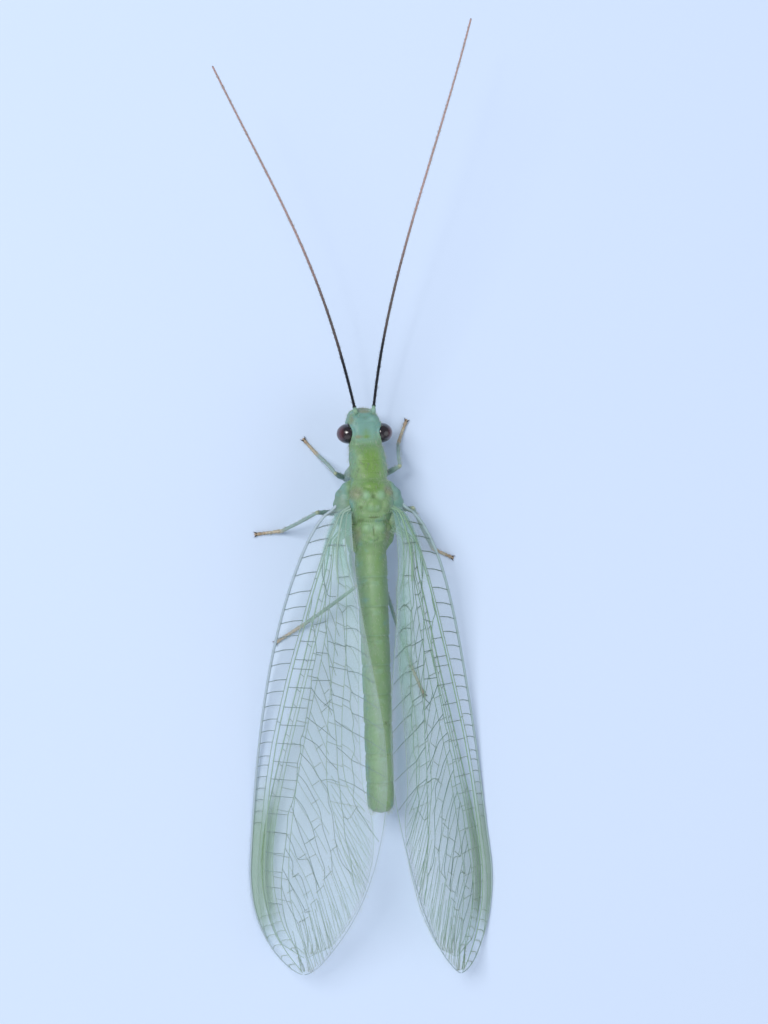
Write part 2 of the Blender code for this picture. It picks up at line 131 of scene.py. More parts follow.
class WingSettings(bpy.types.PropertyGroup):
    """Membranes and veins."""
    tint: colour_property("Tint", "The clear membrane's own colour", (212, 244, 224))
    stigma: colour_property("Stigma", "The green mark by the front edge", (142, 178, 118))
    rear: colour_property("Rear band", "The lavender band by the rear edge", (206, 214, 236))
    vein_green: colour_property("Green veins", "The long veins", (134, 164, 138))
    vein_dark: colour_property("Dark veins", "The short veins across", (66, 90, 90))
    vein_front: colour_property("Front edge", "The stout front edge", (160, 176, 190))
    thick: length_property("Thickness", "Thickness of a membrane", 0.012)
    veil: FloatProperty(name="Veil", description="How much a clear cell hides", default=0.030, min=0, max=1)


class HairSettings(bpy.types.PropertyGroup):
    """The fine hairs on wings, body, legs and feelers."""
    pale: colour_property("Pale hair", "Hairs on the body and wings", (196, 206, 190))
    dark: colour_property("Dark hair", "Hairs on dark places", (60, 56, 50))
    wing: length_property("Wing hair", "Length on the veins", 0.11)
    fringe: length_property("Fringe", "Length along a wing's edge", 0.15)
    body: length_property("Body hair", "Length on the body", 0.13)
    leg: length_property("Leg hair", "Length on the legs", 0.085)


class StageSettings(bpy.types.PropertyGroup):
    """Floor, light and camera."""
    floor: colour_property("Floor", "The plain pale floor", (206, 222, 246))
    power: FloatProperty(name="Light", description="Strength of the soft lights", default=1.0, min=0, max=10)
    distance: length_property("Camera distance", "From the insect's middle", 100.0)
    lens: FloatProperty(name="Lens", description="Focal length in millimetres", default=105.47, min=10, max=500)


class LacewingSettings(bpy.types.PropertyGroup):
    """All that a user would change."""
    body: PointerProperty(type=BodySettings)
    eyes: PointerProperty(type=EyeSettings)
    feelers: PointerProperty(type=FeelerSettings)
    legs: PointerProperty(type=LegSettings)
    wings: PointerProperty(type=WingSettings)
    hair: PointerProperty(type=HairSettings)
    stage: PointerProperty(type=StageSettings)


# Nodes: one way to add any node, and numbers that Python's operators work on


class Field:
    """A number that varies from place to place, as a node's output. An operator on it adds a Math node."""

    def __init__(self, tree, socket):
        self.tree = tree
        self.socket = socket

    def __add__(self, other):
        return self.tree.math("ADD", self, other)

    def __sub__(self, other):
        return self.tree.math("SUBTRACT", self, other)

    def __rsub__(self, other):
        return self.tree.math("SUBTRACT", other, self)

    def __mul__(self, other):
        return self.tree.math("MULTIPLY", self, other)

    def __truediv__(self, other):
        return self.tree.math("DIVIDE", self, other)

    def __rtruediv__(self, other):
        return self.tree.math("DIVIDE", other, self)

    def __pow__(self, other):
        return self.tree.math("POWER", self, other)

    __radd__ = __add__
    __rmul__ = __mul__


class Nodes:
    """Adds nodes to one tree."""

    def __init__(self, tree):
        self.tree = tree

    def node(self, kind, settings=None, values=None):
        """A node of one type, with its settings made first and then its sockets' values or links."""
        made = self.tree.nodes.new(kind)
        for name, value in (settings or {}).items():
            if name == "stops":
                while len(made.color_ramp.elements) < len(value):
                    made.color_ramp.elements.new(0.5)
                for element, (place, colour) in zip(made.color_ramp.elements, value):
                    element.position = place
                    element.color = colour
            else:
                setattr(made, name, value)
        for name, value in (values or {}).items():
            self.put(made.inputs[name], value)
        return made

    def put(self, socket, value):
        if isinstance(value, Field):
            value = value.socket
        if isinstance(value, bpy.types.NodeSocket):
            self.tree.links.new(value, socket)
        else:
            socket.default_value = value

    def math(self, operation, *values):
        made = self.node("ShaderNodeMath", {"operation": operation}, dict(enumerate(values)))
        return Field(self, made.outputs[0])

    def clamp(self, value):
        return Field(self, self.node("ShaderNodeClamp", None, {"Value": value}).outputs[0])


class Finish(Nodes):
    """A material, made in place: its maths in millimetres from the insect's own middle."""

    def __init__(self, name, **constants):
        self.material = bpy.data.materials.new(name)
        self.material.use_nodes = True
        super().__init__(self.material.node_tree)
        self.shader = self.tree.nodes["Principled BSDF"]
        self.set(**constants)
        place = self.node("ShaderNodeTexCoord").outputs["Object"]
        scale = self.node("ShaderNodeMapping", None, {
            "Vector": place, "Scale": (1 / MM,) * 3, "Location": tuple(-MIDDLE)})
        self.place = scale.outputs["Vector"]

    def set(self, **values):
        """Sockets of the main shader, named with underscores for spaces."""
        for name, value in values.items():
            if isinstance(value, tuple) and len(value) == 3 and name.endswith(("Color", "Tint")):
                value = (*value, 1.0)
            self.put(self.shader.inputs[name.replace("_", " ")], value)

    def stored(self, name):
        """A number kept on the mesh's points."""
        made = self.node("ShaderNodeAttribute", {"attribute_name": name})
        return Field(self, made.outputs["Fac"])

    def noise(self, scale, detail=3.0, rough=0.55, stretch=None):
        place = self.place
        if stretch:
            place = self.node("ShaderNodeMapping", None, {"Vector": place, "Scale": stretch}).outputs["Vector"]
        made = self.node("ShaderNodeTexNoise", None, {
            "Vector": place, "Scale": scale, "Detail": detail, "Roughness": rough})
        return Field(self, made.outputs["Fac"])

    def cells(self, scale, feature="F1"):
        made = self.node("ShaderNodeTexVoronoi", {"feature": feature}, {"Vector": self.place, "Scale": scale})
        return Field(self, made.outputs["Distance"])

    def steps(self, value, low, high):
        """0 below low, 1 above high, and smooth between."""
        made = self.node("ShaderNodeMapRange", {"interpolation_type": "SMOOTHSTEP"}, {
            "Value": value, "From Min": low, "From Max": high})
        return Field(self, made.outputs["Result"])

    def mix(self, share, below, above, blend="MIX"):
        """A colour between two others."""
        made = self.node("ShaderNodeMix", {"data_type": "RGBA", "blend_type": blend})
        for index, value in ((0, share), (6, below), (7, above)):
            if isinstance(value, tuple) and len(value) == 3:
                value = (*value, 1.0)
            self.put(made.inputs[index], value)
        return made.outputs[2]

    def bump(self, height, depth, strength=1.0):
        """The surface's normal, raised by a height of 0 to 1 over a depth in millimetres."""
        made = self.node("ShaderNodeBump", None, {
            "Height": height, "Distance": depth * MM, "Strength": strength})
        return made.outputs["Normal"]


# Shapes: points in millimetres from the insect's own middle, x to its right, y to its head, z up


def read_curve(table, at):
    """The columns' values at some places, smoothly through a table's rows of place, value, ..."""
    rows = np.asarray(table, float)
    places = rows[:, 0]
    at = np.clip(np.asarray(at, float), places[0], places[-1])
    step = np.clip(np.searchsorted(places, at, side="right") - 1, 0, len(rows) - 2)
    count = np.arange(len(rows))
    low = np.maximum(count - 1, 0)
    high = np.minimum(count + 1, len(rows) - 1)
    slopes = (rows[high, 1:] - rows[low, 1:]) / (places[high] - places[low])[:, None]
    span = (places[step + 1] - places[step])[..., None]
    u = ((at - places[step])[..., None]) / span
    start, end = rows[step, 1:], rows[step + 1, 1:]
    value = (2 * u ** 3 - 3 * u ** 2 + 1) * start + (3 * u ** 2 - 2 * u ** 3) * end
    return value + (u ** 3 - 2 * u ** 2 + u) * span * slopes[step] + (u ** 3 - u ** 2) * span * slopes[step + 1]


def smooth_step(value, low, high):
    share = np.clip((value - low) / (high - low), 0, 1)
    return share * share * (3 - 2 * share)


def smooth_path(points, spacing):
    """Evenly spaced points on a smooth line through the given ones."""
    points = np.asarray(points, float)
    along = np.concatenate([[0], np.cumsum(np.linalg.norm(np.diff(points, axis=0), axis=1))])
    table = np.column_stack([along, points])
    fine = read_curve(table, np.linspace(0, along[-1], 40 * len(points)))
    true = np.concatenate([[0], np.cumsum(np.linalg.norm(np.diff(fine, axis=0), axis=1))])
    count = max(int(round(true[-1] / spacing)), 2)
    wanted = np.linspace(0, true[-1], count + 1)
    return np.column_stack([np.interp(wanted, true, fine[:, k]) for k in range(points.shape[1])])


def unit(vectors):
    return vectors / np.maximum(np.linalg.norm(vectors, axis=-1, keepdims=True), 1e-12)


def headings_of(path):
    return unit(np.gradient(np.asarray(path, float), axis=0))


def carried_frames(path):
    """Two directions across a path at each point, which turn with it and don't twist."""
    heading = headings_of(path)
    across = np.cross(heading[0], (0.0, 0.0, 1.0))
    if np.linalg.norm(across) < 0.1:
        across = np.cross(heading[0], (1.0, 0.0, 0.0))
    rows = []
    for way in heading:
        across = across - way * across.dot(way)
        across = across / np.linalg.norm(across)
        rows.append(across)
    across = np.array(rows)
    return across, np.cross(heading, across)


def tube(path, radii, sides=12, ends=(True, True)):
    """A closed tube with rounded ends: its points, faces, and how far along it each point is, 0 to 1."""
    path = np.asarray(path, float)
    radii = np.broadcast_to(np.asarray(radii, float), (len(path),)).copy()
    across, up = carried_frames(path)
    heading = headings_of(path)
    share = np.linspace(0, 1, len(path))
    middles, sizes, frames, places = list(path), list(radii), list(range(len(path))), list(share)
    for end, rounded in enumerate(ends):
        index = -1 if end else 0
        way = heading[index] if end else -heading[index]
        for turn in ((30, 58) if rounded else ()):
            middle = path[index] + way * radii[index] * math.sin(math.radians(turn))
            size = radii[index] * math.cos(math.radians(turn))
            at = len(middles) if end else 0
            middles.insert(at, middle)
            sizes.insert(at, size)
            frames.insert(at, len(path) - 1 if end else 0)
            places.insert(at, share[index])
    turn = np.arange(sides) * 2 * math.pi / sides
    frames = np.array(frames)
    ring = across[frames][:, None] * np.cos(turn)[None, :, None] + up[frames][:, None] * np.sin(turn)[None, :, None]
    points = np.array(middles)[:, None] + ring * np.array(sizes)[:, None, None]
    caps = [path[0] - heading[0] * radii[0] * ends[0], path[-1] + heading[-1] * radii[-1] * ends[1]]
    points, faces = loft(points, caps[0], caps[1])
    return points, faces, np.concatenate([np.repeat(places, sides), [0.0, 1.0]])


def loft(rings, first, last):
    """A closed skin over equal rings, drawn to a point at each end."""
    rows, count = rings.shape[:2]
    index = np.arange(rows * count).reshape(rows, count)
    turned = np.roll(index, -1, axis=1)
    faces = np.stack([index[:-1], turned[:-1], turned[1:], index[1:]], axis=-1).reshape(-1, 4).tolist()
    first_hub, last_hub = rows * count, rows * count + 1
    faces += [(int(b), int(a), first_hub) for a, b in zip(index[0], turned[0])]
    faces += [(int(a), int(b), last_hub) for a, b in zip(index[-1], turned[-1])]
    return np.concatenate([rings.reshape(-1, 3), [first, last]]), faces


def joined(parts):
    """Several shapes of points, faces and numbers as one."""
    points, faces, numbers, first = [], [], [], 0
    for part in parts:
        points.append(part[0])
        faces += [tuple(v + first for v in face) for face in part[1]]
        numbers.append(part[2])
        first += len(part[0])
    return np.concatenate(points), faces, np.concatenate(numbers)


def ball(centre, radii, rows=14, sides=20):
    """A closed egg, with its poles along y."""
    turn = (np.arange(rows) + 0.5) * math.pi / rows
    path = np.column_stack([np.zeros(rows), -np.cos(turn) * radii[1], np.zeros(rows)]) + centre
    round_turn = np.arange(sides) * 2 * math.pi / sides
    ring = np.stack([np.sin(round_turn) * radii[0], np.zeros(sides), np.cos(round_turn) * radii[2]], axis=-1)
    rings = path[:, None] + ring[None] * np.sin(turn)[:, None, None]
    centre = np.asarray(centre, float)
    reach = np.array([0, radii[1], 0])
    points, faces = loft(rings, centre - reach, centre + reach)
    return points, faces, np.zeros(len(points))


def facing_out(points, faces):
    """The faces, turned round together if they enclose less than nothing."""
    triangles = np.array([face[:3] for face in faces])
    a, b, c = (points[triangles[:, k]] for k in range(3))
    volume = np.einsum("ij,ij->", a, np.cross(b, c))
    quads = np.array([face for face in faces if len(face) == 4])
    if len(quads):
        a, b, c = (points[quads[:, k]] for k in (0, 2, 3))
        volume += np.einsum("ij,ij->", a, np.cross(b, c))
    return faces if volume > 0 else [tuple(face)[::-1] for face in faces]


def to_mesh(name, points, faces, numbers=None, edges=()):
    """A mesh in metres in the frame of the CAD, with numbers kept on its points."""
    mesh = bpy.data.meshes.new(name)
    mesh.from_pydata(((points + MIDDLE) * MM).tolist(), edges, faces)
    for key, values in (numbers or {}).items():
        values = np.asarray(values, float)
        kind = "FLOAT_VECTOR" if values.ndim == 2 else "FLOAT"
        layer = mesh.attributes.new(key, kind, "POINT")
        layer.data.foreach_set("vector" if values.ndim == 2 else "value", values.ravel())
    return mesh


def add_piece(name, mesh, material, slot, *nodes):
    """A piece of the insect, which stands for these CAD nodes."""
    mesh.name = name
    mesh.materials.clear()
    mesh.materials.append(material)
    mesh.shade_smooth()
    piece = bpy.data.objects.new(name, mesh)
    bpy.context.collection.objects.link(piece)
    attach(piece, "root")
    if nodes:
        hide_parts(*nodes)
    return piece


def run_tree(name, source, tree, values):
    """The plain mesh that a tree of nodes makes from a source mesh."""
    holder = bpy.data.objects.new(f"{name}_source", source)
    bpy.context.collection.objects.link(holder)
    modifier = holder.modifiers.new(tree.name, "NODES")
    modifier.node_group = tree
    for item in tree.interface.items_tree:
        if item.in_out == "INPUT" and item.name in values:
            modifier[item.identifier] = values[item.name]
    graph = bpy.context.evaluated_depsgraph_get()
    mesh = bpy.data.meshes.new_from_object(
        holder.evaluated_get(graph), preserve_all_data_layers=True, depsgraph=graph)
    holder.modifiers.clear()
    bpy.data.objects.remove(holder)
    bpy.data.meshes.remove(source)
    return mesh


def new_tree(name, inputs):
    """An empty tree of geometry nodes with these named inputs."""
    tree = bpy.data.node_groups.new(name, "GeometryNodeTree")
    tree.interface.new_socket("Geometry", in_out="OUTPUT", socket_type="NodeSocketGeometry")
    for label, kind in inputs:
        tree.interface.new_socket(label, in_out="INPUT", socket_type=f"NodeSocket{kind}")
    made = Nodes(tree)
    return made, made.node("NodeGroupInput").outputs


def close_tree(made, geometry, material):
    real = made.node("GeometryNodeRealizeInstances", None, {"Geometry": geometry})
    smooth = made.node("GeometryNodeSetShadeSmooth", None, {"Geometry": real.outputs[0]})
    finish = made.node("GeometryNodeSetMaterial", None, {"Geometry": smooth.outputs[0], "Material": material})
    made.node("NodeGroupOutput", None, {"Geometry": finish.outputs[0]})
    return made.tree


def rib_tree():
    """Round ribs along lines of edges, each point with its own stored radius."""
    made, given = new_tree("ribs", (("Lines", "Geometry"), ("Sides", "Int"), ("Material", "Material")))
    curve = made.node("GeometryNodeMeshToCurve", None, {"Mesh": given["Lines"]})
    circle = made.node("GeometryNodeCurvePrimitiveCircle", None, {"Resolution": given["Sides"], "Radius": 1.0})
    radius = made.node("GeometryNodeInputNamedAttribute", {"data_type": "FLOAT"}, {"Name": "radius"})
    swept = made.node("GeometryNodeCurveToMesh", None, {
        "Curve": curve.outputs[0], "Profile Curve": circle.outputs[0], "Scale": radius.outputs[0],
        "Fill Caps": True})
    return close_tree(made, swept.outputs[0], given["Material"])


def bristle_tree():
    """A tapered hair at each point, set along its lean, and its place on the skin kept as a map."""
    made, given = new_tree("bristles", (
        ("Roots", "Geometry"), ("Thickness", "Float"), ("Patch", "Float"), ("Material", "Material")))
    cone = made.node("GeometryNodeMeshCone", {"fill_type": "TRIANGLE_FAN"}, {
        "Vertices": 4, "Side Segments": 1, "Fill Segments": 1, "Radius Top": 0.12, "Radius Bottom": 1.0,
        "Depth": 1.0})
    leaf = made.node("GeometryNodeStoreNamedAttribute", {"data_type": "FLOAT2", "domain": "CORNER"}, {
        "Geometry": cone.outputs["Mesh"], "Name": "leaf", "Value": cone.outputs["UV Map"]})
    lean = made.node("GeometryNodeInputNamedAttribute", {"data_type": "FLOAT_VECTOR"}, {"Name": "lean"})
    reach = made.node("GeometryNodeInputNamedAttribute", {"data_type": "FLOAT"}, {"Name": "reach"})
    turn = made.node("FunctionNodeAlignRotationToVector", {"axis": "Z"}, {"Vector": lean.outputs[0]})
    size = made.node("ShaderNodeCombineXYZ", None, {
        "X": given["Thickness"], "Y": given["Thickness"], "Z": reach.outputs[0]})
    placed = made.node("GeometryNodeInstanceOnPoints", None, {
        "Points": given["Roots"], "Instance": leaf.outputs[0], "Rotation": turn.outputs[0],
        "Scale": size.outputs[0]})
    real = made.node("GeometryNodeRealizeInstances", None, {"Geometry": placed.outputs[0]})
    root = made.node("GeometryNodeInputNamedAttribute", {"data_type": "FLOAT_VECTOR"}, {"Name": "root"})
    leaf_map = made.node("GeometryNodeInputNamedAttribute", {"data_type": "FLOAT_VECTOR"}, {"Name": "leaf"})
    patch = made.node("ShaderNodeVectorMath", {"operation": "SCALE"}, {
        "Vector": leaf_map.outputs[0], "Scale": given["Patch"]})
    whole = made.node("ShaderNodeVectorMath", {"operation": "ADD"}, {0: root.outputs[0], 1: patch.outputs[0]})
    mapped = made.node("GeometryNodeStoreNamedAttribute", {"data_type": "FLOAT2", "domain": "CORNER"}, {
        "Geometry": real.outputs[0], "Name": "OFBake", "Value": whole.outputs[0]})
    return close_tree(made, mapped.outputs[0], given["Material"])


def add_hair(name, roots, leans, reaches, thick, places, tones, material, slot):
    """A piece of hairs from their roots, leans, lengths and places on the skin's unwrap."""
    low = np.array(roots)
    leans = unit(np.asarray(leans, float))
    rise = np.clip(np.maximum(leans[:, 2], (FLOOR_CLEAR - low[:, 2]) / reaches), -1, 1)
    leans[:, :2] *= (np.sqrt(1 - rise ** 2) / np.maximum(np.linalg.norm(leans[:, :2], axis=1), 1e-9))[:, None]
    leans[:, 2] = rise
    places = np.column_stack([places, np.zeros(len(places))])
    source = to_mesh(f"{name}_roots", low, [], {
        "lean": leans, "reach": np.asarray(reaches) * MM, "root": places, "tone": tones})
    tree = bpy.data.node_groups.get("bristles") or bristle_tree()
    mesh = run_tree(name, source, tree, {
        "Thickness": thick * MM, "Patch": 0.003, "Material": material})
    for spare in ("lean", "reach", "root", "leaf"):
        if spare in mesh.attributes:
            mesh.attributes.remove(mesh.attributes[spare])
    return add_piece(name, mesh, material, slot)


# Head, thorax and abdomen

# Along the body: y, half width, half height, height of the middle, power of its roundness, keel
BODY = (
    (-10.45, 0.27, 0.29, 1.93, 2.2, 0.00),
    (-10.30, 0.39, 0.42, 1.94, 2.3, 0.00),
    (-9.95, 0.43, 0.49, 1.96, 2.3, 0.00),
    (-9.30, 0.45, 0.51, 1.98, 2.3, 0.00),
    (-7.50, 0.46, 0.52, 2.04, 2.2, 0.04),
    (-5.00, 0.47, 0.54, 2.12, 2.1, 0.06),
    (-3.20, 0.505, 0.56, 2.18, 2.1, 0.08),
    (-2.20, 0.52, 0.54, 2.20, 2.1, 0.08),
    (-1.80, 0.52, 0.53, 2.20, 2.1, 0.08),
    (-1.66, 0.54, 0.56, 2.19, 2.1, 0.09),
    (-1.45, 0.66, 0.74, 2.14, 2.1, 0.10),
    (-1.15, 0.79, 0.85, 2.09, 2.1, 0.12),
    (-0.93, 0.77, 0.84, 2.09, 2.1, 0.12),
    (-0.84, 0.73, 0.82, 2.10, 2.1, 0.12),
    (-0.74, 0.78, 0.88, 2.11, 2.1, 0.13),
    (-0.50, 0.87, 0.955, 2.12, 2.1, 0.14),
    (-0.25, 0.93, 0.985, 2.13, 2.1, 0.12),
    (0.10, 0.89, 0.92, 2.16, 2.1, 0.10),
    (0.38, 0.76, 0.75, 2.21, 2.1, 0.10),
    (0.54, 0.66, 0.61, 2.245, 2.1, 0.10),
    (0.61, 0.60, 0.53, 2.26, 2.15, 0.10),
    (0.69, 0.625, 0.49, 2.265, 2.2, 0.10),
    (0.90, 0.635, 0.455, 2.27, 2.35, 0.08),
    (1.10, 0.62, 0.415, 2.27, 2.4, 0.06),
    (1.40, 0.595, 0.39, 2.22, 2.4, 0.04),
    (1.60, 0.575, 0.375, 2.15, 2.4, 0.02),
    (1.70, 0.55, 0.36, 2.08, 2.4, 0.00),
    (1.75, 0.535, 0.37, 2.02, 2.4, 0.00),
    (1.81, 0.53, 0.45, 1.92, 2.4, 0.00),
    (1.92, 0.54, 0.56, 1.81, 2.4, 0.00),
    (2.15, 0.545, 0.69, 1.68, 2.6, 0.00),
    (2.45, 0.535, 0.75, 1.60, 2.6, 0.00),
    (2.70, 0.485, 0.73, 1.54, 2.4, 0.00),
    (2.87, 0.415, 0.59, 1.50, 2.2, 0.00),
    (2.95, 0.31, 0.41, 1.47, 2.0, 0.00),
    (3.00, 0.17, 0.23, 1.45, 2.0, 0.00),
)
FACE_POINT = (0.0, 3.015, 1.44)
TAIL_POINT = (0.13, -10.52, 1.95)
WAIST_Y = -1.67
TAIL_Y = -10.45
SEGMENTS = 9                # visible rings of the abdomen
# How far to the right the body's middle stands, along y
SWAY = ((-10.6, -8.0, -6.8, -5.0, -3.4, -1.67, 0.0, 1.2, 2.0), (.13, .13, .125, .11, .08, .04, .05, .04, 0.0))
THORAX_STEP = 0.019         # between the skin's rings on head and thorax
ABDOMEN_STEP = 0.045
SKIN_SIDES = 128
EYE_CENTRE = (0.53, 2.15, 1.90)
EYE_SHIFT = {"left": 0.0, "right": 0.045}     # the right eye stands a little further out in the photo
EYE_RADII = (0.39, 0.34, 0.40)

# Relief of the skin. Each row: where it is seen from, two coordinates, two half sizes, turn in degrees, rise.
# From the top the coordinates are |x| and y, from the side y and z, from the front |x| and z.
RELIEF = (
    ("top", 0.00, 2.30, 0.030, 0.42, 0, -0.012),
    ("top", 0.20, 2.22, 0.16, 0.30, 0, 0.022),
    ("top", 0.00, 2.66, 0.13, 0.11, 0, -0.030),
    ("top", 0.27, 2.64, 0.14, 0.13, 0, 0.040),
    ("top", 0.22, 1.88, 0.20, 0.06, 8, 0.015),
    ("top", 0.00, 1.20, 0.025, 0.42, 0, -0.010),
    ("top", 0.26, 1.45, 0.24, 0.13, -8, 0.010),
    ("top", 0.20, 1.24, 0.34, 0.045, 6, -0.009),
    ("top", 0.27, 1.02, 0.24, 0.15, 0, 0.012),
    ("top", 0.20, 0.82, 0.34, 0.040, -6, -0.012),
    ("top", 0.00, 0.42, 0.30, 0.12, 0, 0.034),
    ("top", 0.40, 0.33, 0.16, 0.16, 30, 0.030),
    ("top", 0.25, 0.10, 0.20, 0.22, 12, 0.046),
    ("top", 0.60, 0.12, 0.15, 0.15, 0, 0.045),
    ("top", 0.00, 0.03, 0.075, 0.10, 0, -0.070),
    ("top", 0.00, 0.22, 0.020, 0.14, 0, -0.020),
    ("top", 0.00, -0.27, 0.28, 0.26, 0, 0.080),
    ("top", 0.43, -0.26, 0.15, 0.20, -14, 0.040),
    ("top", 0.00, -0.55, 0.20, 0.05, 0, 0.020),
    ("top", 0.36, -0.57, 0.16, 0.09, 20, 0.022),
    ("top", 0.00, -0.67, 0.26, 0.030, 0, -0.030),
    ("top", 0.27, -1.02, 0.22, 0.19, 10, 0.044),
    ("top", 0.60, -1.02, 0.14, 0.16, 0, 0.040),
    ("top", 0.00, -1.06, 0.040, 0.20, 0, -0.050),
    ("top", 0.00, -1.34, 0.17, 0.12, 0, 0.055),
    ("top", 0.30, -1.42, 0.14, 0.07, 24, 0.020),
    ("side", 1.34, 2.16, 0.24, 0.15, 0, 0.018),
    ("side", 0.98, 2.10, 0.13, 0.26, 12, 0.022),
    ("side", 0.22, 2.02, 0.22, 0.40, 18, 0.045),
    ("side", -0.02, 1.98, 0.024, 0.50, 18, -0.045),
    ("side", -0.32, 1.96, 0.19, 0.42, 16, 0.045),
    ("side", -0.16, 2.56, 0.26, 0.10, 0, 0.035),
    ("side", -0.58, 1.98, 0.022, 0.44, 14, -0.035),
    ("side", -1.06, 1.98, 0.15, 0.42, 14, 0.040),
    ("side", -1.22, 1.96, 0.022, 0.42, 14, -0.035),
    ("side", -1.40, 1.98, 0.12, 0.30, 12, 0.020),
    ("side", 2.48, 1.34, 0.26, 0.13, 24, 0.020),
    ("side", 2.52, 1.18, 0.30, 0.022, 20, -0.022),
    ("side", 2.20, 1.36, 0.22, 0.035, -30, -0.016),
    ("front", 0.00, 1.62, 0.26, 0.22, 0, 0.012),
    ("front", 0.00, 1.36, 0.34, 0.028, 0, -0.020),
    ("front", 0.00, 1.17, 0.24, 0.15, 0, 0.022),
    ("front", 0.00, 0.99, 0.26, 0.022, 0, -0.018),
    ("front", 0.29, 2.02, 0.15, 0.15, 0, 0.035),
)
CROWN = ((1.72, 1.9, 2.0, 2.62, 2.84), (0.0, 0.5, 1.0, 1.0, 0.0))   # how squared the top of the head is
CROWN_POWER = 3.6
MOAT = 0.16                 # the furrow round a dome, beside its height

# Marks on the skin. Each row: kind, seen from, two coordinates, two half sizes, turn, strength, on both sides
MARKS = (
    ("teal", "top", 0.00, 2.46, 0.90, 0.78, 0, 0.85, True),
    ("teal", "top", 0.42, 2.32, 0.26, 0.30, 0, 0.95, True),
    ("teal", "top", 0.00, 2.57, 0.24, 0.16, 0, 1.0, True),
    ("teal", "top", 0.60, 1.34, 0.30, 0.66, 0, 0.5, True),
    ("teal", "top", 0.95, -0.62, 0.34, 0.46, 0, 0.9, True),
    ("teal", "top", 0.84, -0.30, 0.30, 0.90, 0, 0.7, True),
    ("teal", "side", 2.35, 1.35, 0.70, 0.70, 0, 0.7, True),
    ("teal", "side", -0.40, 1.60, 1.60, 0.50, 0, 0.6, True),
    ("stripe", "top", 0.00, 1.12, 0.40, 0.66, 0, 1.0, True),
    ("stripe", "top", 0.00, 0.36, 0.44, 0.32, 0, 0.8, True),
    ("stripe", "top", 0.55, 0.26, 0.26, 0.20, 30, 0.5, True),
    ("stripe", "top", 0.00, -0.27, 0.34, 0.30, 0, 0.5, True),
    ("stripe", "top", 0.00, 2.12, 0.20, 0.22, 0, 0.55, True),
    ("stripe", "top", -0.05, 2.02, 0.12, 0.08, 0, 1.0, False),
    ("pale", "top", 0.24, 0.07, 0.15, 0.17, 12, 0.75, True),
    ("pale", "top", 0.10, -0.36, 0.16, 0.14, 0, 0.55, True),
    ("pale", "top", 0.12, -0.98, 0.30, 0.18, 0, 0.65, True),
    ("pale", "top", -0.08, -1.46, 0.11, 0.09, 0, 0.6, False),
    ("pale", "front", 0.29, 2.06, 0.13, 0.12, 0, 0.7, True),
    ("brown", "top", -0.27, 2.02, 0.13, 0.07, 0, 0.9, False),
    # Brown at the front of the face: partly the face's own brown, partly painted shadow.
    ("brown", "top", 0.02, 2.90, 0.22, 0.10, 0, 1.0, True),
    ("brown", "top", -0.56, 2.62, 0.18, 0.20, 20, 1.0, False),
    ("brown", "top", -0.56, 0.14, 0.30, 0.26, 30, 0.8, False),
    ("brown", "top", 0.58, 0.20, 0.24, 0.18, -30, 1.0, False),
    ("brown", "top", 0.50, -1.24, 0.14, 0.34, 0, 0.7, True),
    ("brown", "side", 2.60, 1.24, 0.26, 0.075, 24, 1.0, True),
    ("brown", "front", 0.24, 1.16, 0.09, 0.15, -12, 0.9, True),
    # Brown on the face's front: partly its own brown, partly painted shadow.
    ("brown", "front", 0.00, 1.70, 0.26, 0.26, 0, 0.8, True),
    ("olive", "top", 0.00, 0.03, 0.065, 0.08, 0, 0.6, True),
    ("olive", "top", -0.41, -0.32, 0.08, 0.07, 0, 0.75, False),
    ("olive", "top", 0.02, -0.67, 0.17, 0.036, 0, 1.0, True),
    ("olive", "top", -0.41, -0.75, 0.14, 0.09, 15, 0.65, False),
    ("olive", "top", 0.42, -0.80, 0.12, 0.09, -15, 0.4, False),
    ("olive", "top", 0.00, -1.16, 0.035, 0.18, 0, 0.75, True),
    ("olive", "top", 0.18, -7.48, 0.05, 0.045, 0, 1.0, False),
)
MARK_KINDS = ("teal", "stripe", "pale", "brown", "olive")
MARK_EDGE = (1.6, 0.15)    # a mark fades between these shares of its size


def seen_from(view, points, normals, both=True):
    """Two coordinates of each point from one view, and how squarely that view sees it."""
    x, y, z = points.T
    x = np.abs(x) if both else x
    if view == "top":
        return x, y, smooth_step(normals[:, 2], 0.0, 0.45)
    if view == "side":
        return y, z, smooth_step(np.abs(normals[:, 0]), 0.25, 0.7)
    return x, z, smooth_step(normals[:, 1], 0.2, 0.6)


def oval_reach(view, row, points, normals, both=True):
    """How far out each point is in an oval patch, 1 at its edge, and how squarely it is seen."""
    a, b, half_a, half_b, turn = row
    first, second, weight = seen_from(view, points, normals, both)
    turn = math.radians(turn)
    p, q = first - a, second - b
    along = p * math.cos(turn) + q * math.sin(turn)
    aside = q * math.cos(turn) - p * math.sin(turn)
    return np.sqrt((along / half_a) ** 2 + (aside / half_b) ** 2), weight


def body_places():
    """The skin's rings, closer together towards both ends."""
    waist = np.arange(WAIST_Y, BODY[-1][0], THORAX_STEP)
    abdomen = np.arange(-10.2, WAIST_Y, ABDOMEN_STEP)
    tail = TAIL_Y + 0.25 * np.linspace(0, 1, 10, endpoint=False) ** 1.6
    face = 3.0 - 0.03 * np.array([0.6, 0.25, 0.0])
    return np.concatenate([tail, abdomen, waist[waist < 2.975], face])


def segment_share(y):
    """Which ring of the abdomen a place is in, with its share along it from front to rear."""
    return (WAIST_Y - y) / (WAIST_Y - TAIL_Y) * SEGMENTS


